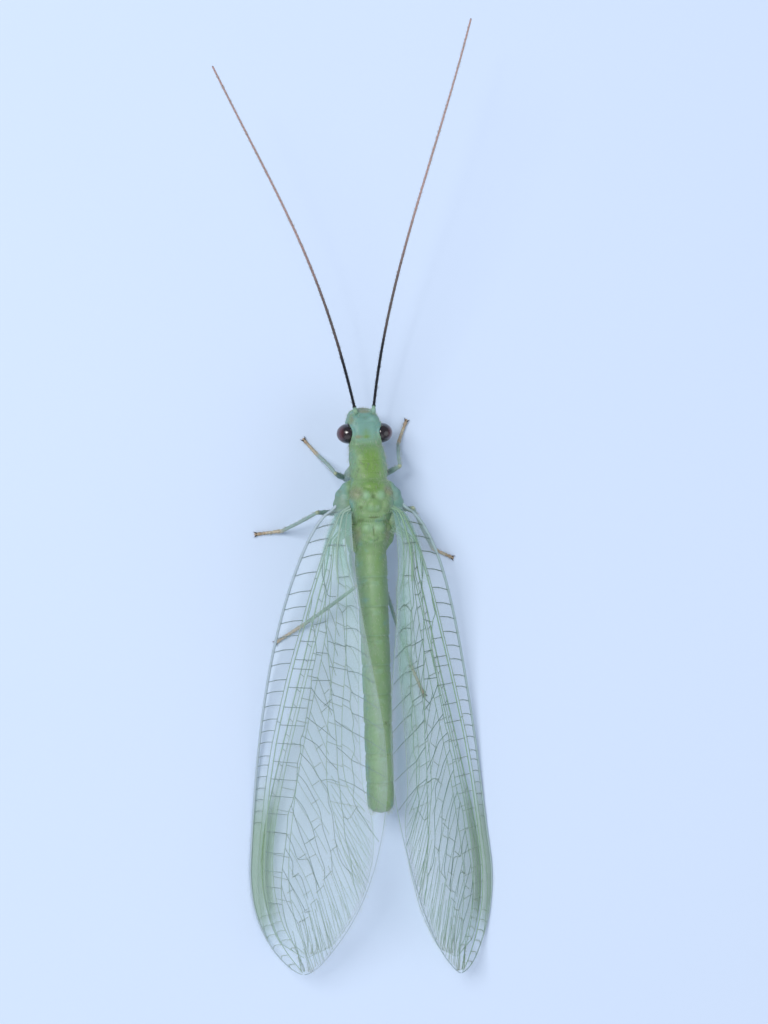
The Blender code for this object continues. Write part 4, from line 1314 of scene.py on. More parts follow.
def forewing_edges(u):
    return FOREWING_LEAD * edge_shape(u, LEAD_PEAK, LEAD_POWERS), FOREWING_TRAIL * edge_shape(u, TRAIL_PEAK, TRAIL_POWERS)


def wing_place(wing, side, share, v, lift=0.0):
    """Points on a wing, raised outwards from its membrane by lift."""
    share, v, lift = np.broadcast_arrays(np.asarray(share, float), np.asarray(v, float), np.asarray(lift, float))
    within = np.clip(share, 0, 1)
    if wing == "hindwing":
        u = HINDWING_SPAN[0] + (HINDWING_SPAN[1] - HINDWING_SPAN[0]) * within
        lead, trail = np.moveaxis(read_curve(HINDWING_EDGES, within), -1, 0)
        taper = np.sqrt(np.clip((1 - within) / 0.03, 0, 1))
        middle = (trail - lead) / 2
        lead, trail = -middle + (lead + middle) * taper, middle + (trail - middle) * taper
        layer = HINDWING_LAYER * smooth_step(within, -0.02, 0.10)
    else:
        u = within
        lead, trail = forewing_edges(u)
        layer = 0.0
    reach = v * (lead + trail) - lead
    pitch = np.radians(read_curve(CHORD_PITCH, u)[..., 0] + EXTRA_PITCH[side])
    tip = WING_TIP[side]
    swell = np.minimum(u * CAMBER_GROWTH[0], 1.0) ** CAMBER_GROWTH[1]
    bow = CAMBER * (1 - (reach / FOREWING_LEAD) ** 2) * np.sin(math.pi * swell) + layer + lift
    rise = reach + forewing_edges(u)[0]
    x = WING_ROOT[0] + (tip[0] - WING_ROOT[0]) * u - reach * np.cos(pitch) + bow * np.sin(pitch)
    y = WING_ROOT[1] + (tip[1] - WING_ROOT[1]) * u
    z = read_curve(FRONT_EDGE_HEIGHT, u)[..., 0] + rise * np.sin(pitch) + bow * np.cos(pitch)
    place = np.stack([x, y, z], axis=-1)
    front, rear = np.array(ROOT_LINES[wing][0]), np.array(ROOT_LINES[wing][1])
    joint = front + (rear - front) * v[..., None]
    joint[..., 2] += lift
    inward = np.clip(-share / ROOT_REACH, 0, 1)[..., None]
    place = place + (joint - place) * inward
    place[..., 2] = np.maximum(place[..., 2], FLOOR_CLEAR + np.maximum(lift, 0))
    place[..., 0] *= SIDES[side]
    return place


def wing_normals(wing, side, share, v):
    """The direction that stands out from the wing's upper side."""
    d = 0.004
    along = wing_place(wing, side, share + d, v) - wing_place(wing, side, share - d, v)
    across = wing_place(wing, side, share, v + d) - wing_place(wing, side, share, v - d)
    normal = unit(np.cross(along, across))
    return normal * np.where(normal[..., 2:] < 0, -1, 1), unit(along), unit(across)


# Long veins of the forewing, as points of share and v
SC = ((-.05, .50), (.02, .50), (.06, .44), (.11, .385), (.16, .335), (.2, .30), (.25, .265), (.3, .225), (.35, .19),
      (.4, .16), (.45, .135), (.5, .11), (.55, .095), (.6, .082), (.7, .07), (.8, .065), (.88, .05), (.93, .01))
RADIUS = ((-.05, .56), (.02, .56), (.06, .48), (.11, .425), (.16, .375), (.2, .34), (.25, .305), (.3, .262),
          (.35, .225), (.4, .195), (.45, .168), (.5, .145), (.55, .13), (.6, .118), (.7, .112), (.8, .125),
          (.88, .15), (.94, .2), (.975, .3), (.995, .45))
RS = ((.18, .36), (.205, .36), (.222, .345), (.235, .395), (.25, .43), (.275, .455), (.30, .468), (.325, .45),
      (.345, .43), (.375, .425), (.41, .405), (.44, .388), (.47, .37), (.49, .345), (.51, .352), (.54, .33),
      (.58, .33), (.62, .31), (.65, .28), (.69, .28), (.735, .275), (.775, .27), (.81, .27), (.85, .28),
      (.89, .31), (.93, .37), (.965, .46), (.99, .6))
PSM = ((.10, .46), (.14, .50), (.18, .545), (.235, .56), (.27, .585), (.30, .59), (.35, .605), (.40, .61),
       (.44, .625), (.47, .63), (.50, .635), (.55, .64), (.58, .655), (.62, .675), (.65, .70), (.68, .72),
       (.70, .74), (.74, .80), (.79, .87), (.83, .97))
PSC = ((-.05, .68), (.04, .68), (.10, .68), (.14, .72), (.20, .72), (.215, .765), (.25, .775), (.30, .77),
       (.35, .77), (.385, .78), (.41, .76), (.43, .77), (.45, .775), (.47, .76), (.49, .765), (.51, .77),
       (.53, .745), (.58, .765), (.61, .76), (.63, .79), (.645, .83), (.665, .88), (.68, .92), (.70, .985))
ANAL = ((-.05, .86), (.03, .84), (.08, .85), (.13, .89), (.175, .965))
FOREWING_LONG = (
    (SC, .014, .40), (RADIUS, .022, .12), (RS, .014, .5), (PSM, .013, .5), (PSC, .013, .55), (ANAL, .014, .4),
    (((-.05, .68), (.04, .68), (.10, .68), (.15, .725)), .030, .1),
)
FOREWING_SHORT = (      # dark veins across, and the branches between
    ((.105, .43), (.13, .46), (.16, .54), (.175, .57), (.18, .62), (.18, .69)),
    ((.24, .43), (.237, .50), (.233, .57)), ((.07, .47), (.07, .66)), ((.14, .70), (.138, .90)),
    ((.07, .70), (.072, .84)),
    ((.375, .425), (.40, .50), (.425, .615)), ((.44, .395), (.455, .475), (.47, .55), (.49, .635)),
    ((.48, .36), (.498, .475), (.524, .55), (.552, .64)),
    ((.517, .35), (.543, .44), (.565, .49), (.594, .568), (.62, .58), (.645, .615), (.70, .66), (.745, .73), (.775, .85)),
    ((.575, .52), (.572, .58), (.578, .65)),
    ((.561, .33), (.58, .395), (.609, .46), (.639, .52), (.674, .553), (.694, .583), (.731, .645), (.768, .677)),
    ((.609, .315), (.631, .385), (.657, .44), (.683, .485), (.70, .505), (.731, .552), (.765, .615), (.787, .625)),
    ((.631, .30), (.657, .335), (.683, .375), (.713, .427), (.745, .485), (.785, .55), (.815, .585)),
    ((.694, .28), (.716, .333), (.746, .39), (.746, .47), (.776, .53), (.805, .594)),
    ((.724, .277), (.754, .35), (.785, .365), (.78, .417), (.805, .469), (.83, .51)),
    ((.768, .27), (.798, .34), (.828, .42), (.857, .50)), ((.805, .27), (.835, .31), (.865, .375), (.891, .45)),
    ((.30, .47), (.302, .59)), ((.36, .43), (.36, .605)), ((.415, .54), (.40, .61)),
    ((.275, .585), (.282, .68), (.288, .775)), ((.33, .60), (.338, .77)), ((.39, .61), (.398, .70), (.405, .76)),
    ((.445, .625), (.46, .70), (.47, .76)), ((.503, .635), (.515, .69), (.53, .745)), ((.57, .65), (.583, .765)),
    ((.65, .70), (.655, .74), (.63, .79)), ((.285, .775), (.29, .86), (.31, .985)),
    ((.215, .765), (.20, .87), (.21, .985)), ((.25, .775), (.25, .90), (.268, .99)), ((.385, .78), (.40, .88), (.42, .99)),
    ((.34, .77), (.345, .87), (.365, .99)), ((.43, .77), (.44, .86), (.465, .99)), ((.47, .76), (.485, .86), (.51, .99)),
    ((.53, .745), (.545, .86), (.565, .99)), ((.583, .765), (.60, .86), (.625, .99)),
    ((.683, .485), (.668, .535)), ((.713, .427), (.70, .495)), ((.746, .39), (.733, .45)), ((.785, .365), (.776, .41)),
    ((.82, .33), (.812, .375)), ((.725, .64), (.712, .685)), ((.787, .622), (.768, .672)), ((.815, .585), (.80, .63)),
    ((.842, .545), (.83, .59)), ((.861, .505), (.857, .56)), ((.883, .455), (.877, .51)),
)
COSTAL_CROSS = (.008, .035, .065, .097, .135, .175, .208, .238, .27, .30, .33, .365, .39, .42, .45, .475, .5, .53,
                .55, .575, .6, .625, .65, .675)
RADIAL_CROSS = (.275, .315, .335, .375, .418, .457, .497, .537, .575, .612, .65, .69, .735, .775, .81, .845)
FOREWING_ENDS = (        # where the forked veins of the outer part begin
    (.70, .74), (.735, .79), (.768, .677), (.787, .625), (.815, .585), (.83, .59), (.842, .545), (.857, .53),
    (.868, .49), (.883, .455), (.891, .45), (.905, .38), (.925, .40), (.945, .43), (.96, .47), (.975, .52),
)
# Long veins of the hindwing
HIND_SC = ((-.05, .26), (.04, .20), (.12, .135), (.25, .095), (.4, .07), (.6, .055), (.75, .05), (.86, .035), (.91, .005))
HIND_RADIUS = ((-.05, .36), (.04, .29), (.12, .21), (.25, .15), (.4, .118), (.6, .10), (.75, .10), (.86, .125), (.93, .17),
               (.975, .28), (.992, .45))
HIND_RS = ((.08, .25), (.13, .31), (.2, .335), (.3, .32), (.4, .30), (.5, .28), (.6, .265), (.7, .255), (.8, .26),
           (.88, .295), (.94, .38), (.975, .52))
HIND_PSM = ((-.05, .52), (.05, .50), (.15, .52), (.25, .545), (.35, .56), (.45, .575), (.55, .60), (.63, .64), (.70, .70),
            (.76, .79), (.81, .93))
HIND_PSC = ((-.05, .72), (.05, .72), (.15, .75), (.25, .765), (.35, .765), (.45, .77), (.53, .79), (.59, .84), (.64, .95))
HINDWING_LONG = (
    (HIND_SC, .012, .3), (HIND_RADIUS, .016, .2), (HIND_RS, .012, .4), (HIND_PSM, .011, .35), (HIND_PSC, .011, .35),
)
HIND_BRANCHES = 18


def v_on(vein, share):
    """Where a long vein is at a share of the span."""
    table = np.array(vein, float)
    return float(np.interp(share, table[:, 0], table[:, 1]))


def slanting(wing, share, v, slope, whole=1.0):
    """A straight vein from one place towards the rear edge: slope is how far it runs outwards for each 1 across."""
    at = np.linspace(0, 4.5, 181)
    if wing == "forewing":
        shares = share + at * slope / SPAN_MM
        lead, trail = forewing_edges(np.minimum(shares, 1))
        first_lead, first_trail = forewing_edges(np.array(share))
    else:
        shares = share + at * slope / SPAN_MM / (HINDWING_SPAN[1] - HINDWING_SPAN[0])
        lead, trail = read_curve(HINDWING_EDGES, shares).T
        first_lead, first_trail = read_curve(HINDWING_EDGES, share)
    reach = v * (first_lead + first_trail) - first_lead + at
    vs = (reach + lead) / np.maximum(lead + trail, 0.05)
    inside = np.nonzero((vs < 0.992) & (shares < 0.992))[0]
    last = max(int(inside[-1] * whole), 4) if len(inside) else 4
    kept = np.unique(np.linspace(0, last, 7).round().astype(int))
    return np.column_stack([shares, vs])[kept]


def edge_lines(wing):
    """The stout front edge and the thin rear edge, to the tip."""
    share = np.concatenate([np.linspace(-ROOT_REACH, 0.9, 120), 0.9 + 0.0995 * np.sin(np.linspace(0, math.pi / 2, 40))[1:]])
    stout = 0.046 if wing == "forewing" else 0.022
    front = stout * np.interp(share, (-.05, 0.1, 0.6, 0.9, 1), (1.2, 1.05, 0.9, 0.62, 0.4))
    yield np.column_stack([share, np.zeros_like(share)]), front, np.full_like(share, -1.0 if wing == "forewing" else 0.1)
    share = share[share > -0.03]
    outer = smooth_step(share, 0.60, 0.74) * (1.0 if wing == "forewing" else 0.0)
    yield np.column_stack([share, np.ones_like(share)]), 0.006 + 0.008 * outer, -0.12 - 0.5 * outer


def short_veins(wing):
    """Every vein but the long ones and the edges: its points of share and v, radius and darkness."""
    if wing == "forewing":
        yield from ((points, .0120, .85) for points in FOREWING_SHORT)
        for share in COSTAL_CROSS:
            end = share - 0.010 * (1 - share)
            yield ((share, 0.0), ((share + end) / 2 - .002, v_on(SC, end) * .5), (end, v_on(SC, end))), .013, .9
        for share in RADIAL_CROSS:
            yield ((share, v_on(RADIUS, share)), (share + .002, v_on(RS, share + .002))), .012, .85
        for share in (.14, .45):
            yield ((share, v_on(SC, share)), (share + .002, v_on(RADIUS, share))), .013, .8
        ends, radius = FOREWING_ENDS, RADIUS
    else:
        branches = np.linspace(.16, .86, HIND_BRANCHES)
        for index, share in enumerate(branches):
            reach = np.interp(share, (.16, .5, .86), (.62, .62, .56))
            v = v_on(HIND_RS, share)
            lower = min(share + .045 + .14 * share, .975)
            yield ((share, v), (share + (lower - share) * .4, v + (reach - v) * .45), (lower, reach)), .0115, .6
            if index > 3:
                inner = share + (lower - share) * .45
                yield ((inner, v + (reach - v) * .5), (inner - .012, v + (reach - v) * .72)), .0115, .8
        for share in np.linspace(.10, .62, 12):
            yield ((share, v_on(HIND_PSM, share)), (share + .012, v_on(HIND_PSC, share + .012))), .0115, .65
            foot = min(share + .05, .68)
            yield ((share + .006, v_on(HIND_PSC, share)), (share + .018, .88), (foot, .99)), .0115, .6
        for share in np.linspace(.03, .64, 18):
            yield ((share, 0.0), (share + .008, v_on(HIND_SC, share + .008))), .012, .8
        for share in np.linspace(.16, .86, 14):
            yield ((share, v_on(HIND_RADIUS, share)), (share + .006, v_on(HIND_RS, share + .006))), .012, .8
        ends = [(s, np.interp(s, (.58, .7, .86, .93, .98), (.66, .66, .57, .50, .55))) for s in np.linspace(.56, .965, 20)]
        radius = HIND_RADIUS
    for index, (share, v) in enumerate(ends):
        slope = np.interp(share, (.58, .72, .85, .97), (1.15, 1.5, 2.1, 2.6))
        stem = slanting(wing, share, v, slope, 0.42 + 0.12 * (index % 3))
        yield stem, .0115, .55
        for turn in (0.80, 1.26) if share < 0.93 else ():
            yield slanting(wing, *stem[-1], slope * turn), .0105, .5
    for share in (.872, .893, .914, .936, .958, .976):
        yield ((share, v_on(radius, share)), (share + .004, .07), (min(share + .012, .996), 0.004)), .0115, .5


def vein_lines(wing):
    """All veins of a wing: points of share and v, radii and tones."""
    yield from edge_lines(wing)
    for points, radius, tone in FOREWING_LONG if wing == "forewing" else HINDWING_LONG:
        path = smooth_path(np.array(points) * (SPAN_MM, CHORD_MM), 0.12) / (SPAN_MM, CHORD_MM)
        taper = np.interp(path[:, 0], (-.05, .12, .9, 1), (1.35, 1.0, 0.72, 0.5))
        yield path, radius * taper, np.full(len(path), tone)
    for points, radius, tone in short_veins(wing):
        path = smooth_path(np.array(points) * (SPAN_MM, CHORD_MM), 0.10) / (SPAN_MM, CHORD_MM)
        slender = np.interp(path[:, 0], (.35, .62), (1.0, 0.70)) * np.interp(path[:, 1], (.8, .95), (1.0, 0.72))
        slender *= 0.78 if wing == "hindwing" else 1.0
        yield path, radius * slender, tone * np.interp(path[:, 0], (.4, .62), (1.0, 0.85))


def membrane_shape(wing, side, thick):
    """The closed thin shell of one wing, with its place on the wing kept on its points."""
    columns, rows = MEMBRANE_GRID[wing]
    t = np.linspace(0, 1, columns)
    share = np.concatenate([np.linspace(-ROOT_REACH, 0, 9)[:-1], 0.9996 * (1 - (1 - t) ** 1.7)])
    v = np.linspace(0, 1, rows)
    grid_share, grid_v = np.meshgrid(share, v, indexing="ij")
    ripple = 0.010 * np.sin(grid_v * 31 + 3 * np.sin(grid_share * 9)) * smooth_step(grid_share, 0.05, 0.2)
    free = smooth_step(grid_v, 0, 0.04) * smooth_step(-grid_v, -1, -0.96)
    over = wing_place(wing, side, grid_share, grid_v, ripple * free + thick / 2)
    under = wing_place(wing, side, grid_share, grid_v, ripple * free - thick / 2)
    rings = np.concatenate([over, under[:, ::-1]], axis=1)
    shares = np.concatenate([grid_share, grid_share], axis=1).ravel()
    vs = np.concatenate([grid_v, grid_v[:, ::-1]], axis=1).ravel()
    points, faces = loft(rings, rings[0].mean(axis=0), rings[-1].mean(axis=0))
    shares, vs = np.concatenate([shares, [-ROOT_REACH, 1]]), np.concatenate([vs, [0.5, 0.5]])
    sc = np.array(SC if wing == "forewing" else HIND_SC)
    front_line = np.interp(shares, sc[:, 0], sc[:, 1])
    front = smooth_step(front_line - vs, -0.004, 0.012)
    high = {"left": 0.112, "right": 0.135}[side] if wing == "forewing" else 0.10
    stigma = smooth_step(shares, 0.52, 0.70) * smooth_step(-shares, -0.95, -0.86) * smooth_step(high - vs, -0.02, 0.02)
    rear = smooth_step(vs, 0.90, 0.985)
    root = (1 - smooth_step(shares, 0.0, 0.12)) * smooth_step(vs, 0.25, 0.5)
    band = (1 - smooth_step(shares, 0.06, 0.18)) * smooth_step(vs, 0.34, 0.42) * smooth_step(-vs, -0.58, -0.50)
    # The inner rear corner by the root is the wing's own haze; its larger share on the right is painted shadow of the
    # abdomen.
    inner = (1 - smooth_step(shares, 0.12, 0.52)) * smooth_step(vs, 0.66, 0.92) * {"left": 0.25, "right": 0.6}[side]
    if wing == "forewing":
        root = np.maximum(root, np.maximum(band, inner)) * smooth_step(shares, -ROOT_REACH, 0.01)
    # On the right hindwing the root veil between abdomen and wing is partly painted shadow of the abdomen, partly the
    # folded rear lobe's own haze.
    elif side == "right":
        root = smooth_step(shares, 0.03, 0.14) * (1 - smooth_step(shares, 0.42, 0.64)) * smooth_step(vs, 0.5, 0.9) * 0.6
    return points, facing_out(points, faces), {"front": front, "stigma": stigma, "rear": rear, "root": root}


def membrane_finish(name, colours, veil):
    """Clear and glassy, with faint clouds, a green mark by the front edge and a paler rear band."""
    finish = Finish(
        name, Specular_IOR_Level=0.5, Thin_Film_Thickness=320.0, Thin_Film_IOR=1.36, IOR=1.42)
    cloud = finish.noise(0.55, 3.0)
    fine = finish.noise(5.0, 3.0)
    stigma, front = finish.stored("stigma"), finish.stored("front")
    rear, root = finish.stored("rear"), finish.stored("root")
    colour = finish.mix(finish.steps(cloud, 0.40, 0.64), tuple(colours.tint), paint(192, 232, 212))
    colour = finish.mix(front * 0.6, colour, paint(216, 224, 240))
    colour = finish.mix(rear * 0.8, colour, tuple(colours.rear))
    colour = finish.mix(stigma * (0.8 + fine * 0.2), colour, tuple(colours.stigma))
    # root: the cloudy roots of the wings, and on the right also painted shadow of the abdomen.
    colour = finish.mix(root * 0.85, colour, paint(132, 176, 166))
    alpha = veil * (0.75 + cloud * 0.5) + front * 0.03 + rear * 0.06 + stigma * 0.20 + root * 0.42
    finish.set(
        Base_Color=colour, Alpha=finish.clamp(alpha), Roughness=0.16 + fine * 0.16,
        Normal=finish.bump(finish.noise(1.8, 3.0), 0.05, 0.5))
    return finish.material


def vein_finish(colours, side):
    """Pale green along the wing, near black across it, grey-lavender at the edges, with painted light making the left
    wing's veins paler and painted shade making the right wing's greener.
    """
    finish = Finish(f"wing_vein_{side}", Specular_IOR_Level=0.4)
    tone = finish.stored("tone")
    cloud = finish.noise(3.4, 3.0)
    dark = finish.steps(tone + (cloud - 0.5) * 0.5, 0.30, 0.78)
    colour = finish.mix(dark, tuple(colours.vein_green), tuple(colours.vein_dark))
    colour = finish.mix(finish.steps(0.0 - tone, 0.2, 0.5), colour, tuple(colours.vein_front))
    colour = finish.mix(finish.steps(finish.noise(9.0, 2.0), 0.52, 0.68) * 0.25, colour, paint(118, 150, 122))
    # Painted light and shade: the left wing's veins are lifted towards pale blue-white, the right wing's pulled towards
    # a shaded green.
    share, over = {"left": (0.24, paint(196, 216, 226)), "right": (0.20, paint(140, 188, 158))}[side]
    colour = finish.mix(share, colour, over)
    finish.set(Base_Color=colour, Roughness=0.36 + cloud * 0.24, Normal=finish.bump(finish.noise(70.0, 2.0), 0.003, 0.6))
    return finish.material


# Swellings where the wings join the thorax: points of x outwards, y, z and the radius there
ROOT_SWELLINGS = (
    ((0.50, 0.56, 2.26, .10), (0.64, 0.32, 2.28, .26), (0.77, 0.0, 2.30, .36), (0.82, -0.36, 2.32, .36),
     (0.78, -0.72, 2.34, .31), (0.68, -1.05, 2.34, .22), (0.56, -1.34, 2.30, .10)),
    ((0.44, -0.80, 2.28, .16), (0.56, -1.02, 2.28, .27), (0.58, -1.26, 2.26, .27), (0.50, -1.56, 2.24, .19),
     (0.38, -1.86, 2.22, .07)),
)


def root_shape():
    """The soft swellings at the roots of all four wings."""
    parts = []
    for sign in SIDES.values():
        for index, table in enumerate(ROOT_SWELLINGS):
            path = smooth_path(np.array(table) * (sign, 1, 1, 1), 0.045)
            points, faces, _ = tube(path[:, :3], path[:, 3] * (1 + 0.05 * np.sin(path[:, 1] * 21)), 18)
            beside = 1 - smooth_step(np.abs(points[:, 0]), 0.50, 0.98)
            parts.append((points, faces, np.clip(beside + 0.25 * index, 0, 1)))
    return joined(parts)


def root_finish(colours):
    """Bluish teal, cloudy and a little clear."""
    finish = Finish(
        "wing_root", Subsurface_Weight=0.2, Subsurface_Radius=(0.6, 1.0, 0.8), Subsurface_Scale=0.0002,
        Specular_IOR_Level=0.4)
    cloud = finish.noise(3.2, 3.0)
    colour = finish.mix(finish.steps(cloud, 0.36, 0.66), paint(106, 146, 134), paint(124, 160, 150))
    beside = finish.steps(finish.stored("tone") + (finish.noise(9.0, 3.0) - 0.5) * 0.5, 0.1, 0.8)
    colour = finish.mix(beside * 0.9, colour, tuple(colours.green))
    colour = finish.mix(finish.steps(finish.noise(1.5, 2.0), 0.50, 0.62) * 0.35, colour, tuple(colours.brown))
    finish.set(
        Base_Color=colour, Roughness=0.36 + cloud * 0.2, Normal=finish.bump(finish.noise(12.0, 3.0), 0.03, 0.5))
    return finish.material


class MakeRoots(bpy.types.Operator):
    """Make the swellings at the wings' roots"""
    bl_idname = "lacewing.roots"
    bl_label = "Wing roots"

    def execute(self, context):
        points, faces, tone = root_shape()
        mesh = to_mesh("wing_roots", points, faces, {"tone": tone})
        add_piece("wing_roots", mesh, root_finish(context.scene.lacewing.body), "thorax")
        return {"FINISHED"}


class MakeMembranes(bpy.types.Operator):
    """Make the four thin wing membranes"""
    bl_idname = "lacewing.membranes"
    bl_label = "Wing membranes"

    def execute(self, context):
        settings = context.scene.lacewing.wings
        for wing in MEMBRANE_GRID:
            # The right wings get a thicker veil than the left, the right hindwing most: painted shade.
            for side, share in (("left", 1.3), ("right", 1.4 if wing == "forewing" else 2.6)):
                finish = membrane_finish(f"{wing}_{side}_clear", settings, settings.veil * share)
                points, faces, numbers = membrane_shape(wing, side, settings.thick / MM)
                mesh = to_mesh(f"{wing}_{side}_membrane", points, faces, numbers)
                add_piece(f"{wing}_{side}_membrane", mesh, finish, "wing", f"{wing}_{side}")
        return {"FINISHED"}


class MakeVeins(bpy.types.Operator):
    """Make the network of veins on each wing"""
    bl_idname = "lacewing.veins"
    bl_label = "Wing veins"

    def execute(self, context):
        finishes = {side: vein_finish(context.scene.lacewing.wings, side) for side in SIDES}
        tree = bpy.data.node_groups.get("ribs") or rib_tree()
        for wing in MEMBRANE_GRID:
            lines = list(vein_lines(wing))
            for side in SIDES:
                points = np.concatenate([wing_place(wing, side, path[:, 0], path[:, 1]) for path, _, _ in lines])
                radii = np.concatenate([radius for _, radius, _ in lines])
                tones = np.concatenate([tone for _, _, tone in lines])
                points[:, 2] = np.maximum(points[:, 2], radii + FLOOR_CLEAR / 2)
                edges, first = [], 0
                for path, _, _ in lines:
                    edges += [(first + k, first + k + 1) for k in range(len(path) - 1)]
                    first += len(path)
                name = f"{wing}_{side}_veins"
                source = to_mesh(f"{name}_lines", points, [], {"radius": radii * MM, "tone": tones}, edges)
                mesh = run_tree(name, source, tree, {"Sides": 8, "Material": finishes[side]})
                add_piece(name, mesh, finishes[side], "wing")
        return {"FINISHED"}


# Hairs


def hair_finish(colours):
    """Pale hairs, dark where they grow from dark places."""
    finish = Finish("fine_hair", Specular_IOR_Level=0.4)
    shade = finish.noise(8.0, 2.0)
    colour = finish.mix(finish.stored("tone"), tuple(colours.pale), tuple(colours.dark))
    colour = finish.mix(finish.steps(shade, 0.45, 0.65) * 0.35, colour, paint(150, 156, 130))
    finish.set(Base_Color=colour, Roughness=0.4 + shade * 0.2)
    return finish.material


def wing_hair(wing, side, lines, settings, rng):
    """Hairs in two rows along each vein, and a fringe round the edge."""
    roots, leans, reaches, places, tones = [], [], [], [], []
    for index, (path, radius, tone) in enumerate(lines):
        edge = index < 2
        spacing = 0.085 if edge else 0.12
        fine = smooth_path(path * (SPAN_MM, CHORD_MM), spacing) / (SPAN_MM, CHORD_MM)
        fine = fine[(fine[:, 0] > 0.0) & (fine[:, 0] < 0.99)]
        if len(fine) < 3:
            continue
        share, v = fine.T
        normal, along, across = wing_normals(wing, side, share, v)
        own = wing_place(wing, side, share, v)
        heading = unit(np.gradient(own, axis=0))
        beside = np.cross(heading, normal)
        for row in (-1, 1):
            spread = rng.normal(0, 0.16, (len(fine), 3))
            out = across * (-1 if index == 0 else 1)
            if edge:
                lean = out * 0.9 + along * 0.55 + normal * 0.25 * row
                reach = settings.fringe / MM * (0.8 + 0.4 * rng.random(len(fine)))
            else:
                lean = normal * 0.75 + beside * 0.55 * row + along * 0.35
                reach = settings.wing / MM * (0.8 + 0.4 * rng.random(len(fine)))
            roots.append(own)
            leans.append(lean + spread)
            reaches.append(reach)
            places.append(np.column_stack([share, v]))
            tones.append(np.clip(np.interp(np.arange(len(fine)), (0, len(fine)), (tone[0], tone[-1])) * 0.6, 0, 1))
    return [np.concatenate(part) for part in (roots, leans, reaches)] + [
        0.0032, np.concatenate(places) * 0.99, np.concatenate(tones)]


def body_hair(settings, rng):
    """Fine hairs that lie back along the body, longest on the thorax and at the tail."""
    skin = body_skin()
    points = skin[0]
    count = len(points) - 2
    y = points[:count, 1]
    eye = np.sqrt(sum(((np.abs(points[:count, k]) if k == 0 else points[:count, k]) - EYE_CENTRE[k]) ** 2
                      / EYE_RADII[k] ** 2 for k in range(3)))
    ring = np.linalg.norm(np.gradient(points[:count].reshape(-1, SKIN_SIDES, 3), axis=0), axis=-1).ravel()
    weight = ring * np.interp(y, (-10.5, -9.5, -1.8, -1.5, 0.5, 1.7, 3.0), (2.4, 1.0, 0.8, 1.6, 2.4, 2.6, 1.8))
    weight = np.where(eye < 1.12, 0, weight)
    chosen = rng.choice(count, 3600, replace=False, p=weight / weight.sum())
    roots, normals, places = skin_at(skin, chosen)
    back = np.array([0.0, -1.0, 0.0]) * np.where(roots[:, 1] > 2.2, -0.35, 1.0)[:, None]
    leans = normals * 0.62 + back * 0.8 + rng.normal(0, 0.2, roots.shape)
    reach = settings.body / MM * np.interp(
        roots[:, 1], (-10.5, -9.8, -2, -1.2, 0.6, 1.7, 2.4, 3.0), (1.3, 0.9, 0.7, 1.0, 1.15, 1.1, 0.7, 0.55))
    reach = reach * (0.75 + 0.5 * rng.random(len(roots)))
    return roots, leans, reach, 0.0038, places * 0.99, rng.random(len(roots)) * 0.25


def limb_hair(paths, per_mm, reach, rng):
    """Hairs round tubes: each path with its radii and its share of the map."""
    roots, leans, reaches, places = [], [], [], []
    for index, (path, radii) in enumerate(paths):
        across, up = carried_frames(path)
        heading = headings_of(path)
        total = np.linalg.norm(np.diff(path, axis=0), axis=1).sum()
        count = max(int(total * per_mm), 4)
        at = np.sort(rng.random(count)) * 0.96 + 0.02
        turn = rng.random(count) * 2 * math.pi
        steps = np.linspace(0, 1, len(path))

        def taken(values):
            return np.column_stack([np.interp(at, steps, values[:, k]) for k in range(3)])

        out = taken(across) * np.cos(turn)[:, None] + taken(up) * np.sin(turn)[:, None]
        radius = np.interp(at, steps, radii)
        roots.append(taken(path) + out * (radius * 0.94)[:, None])
        leans.append(out * 0.6 + taken(heading) * 0.75 + rng.normal(0, 0.12, out.shape))
        reaches.append(reach * (0.75 + 0.5 * rng.random(count)))
        places.append(np.column_stack([at * 0.99, (index + turn / (2 * math.pi)) / len(paths) * 0.99]))
    return [np.concatenate(part) for part in (roots, leans, reaches)] + [np.concatenate(places)]


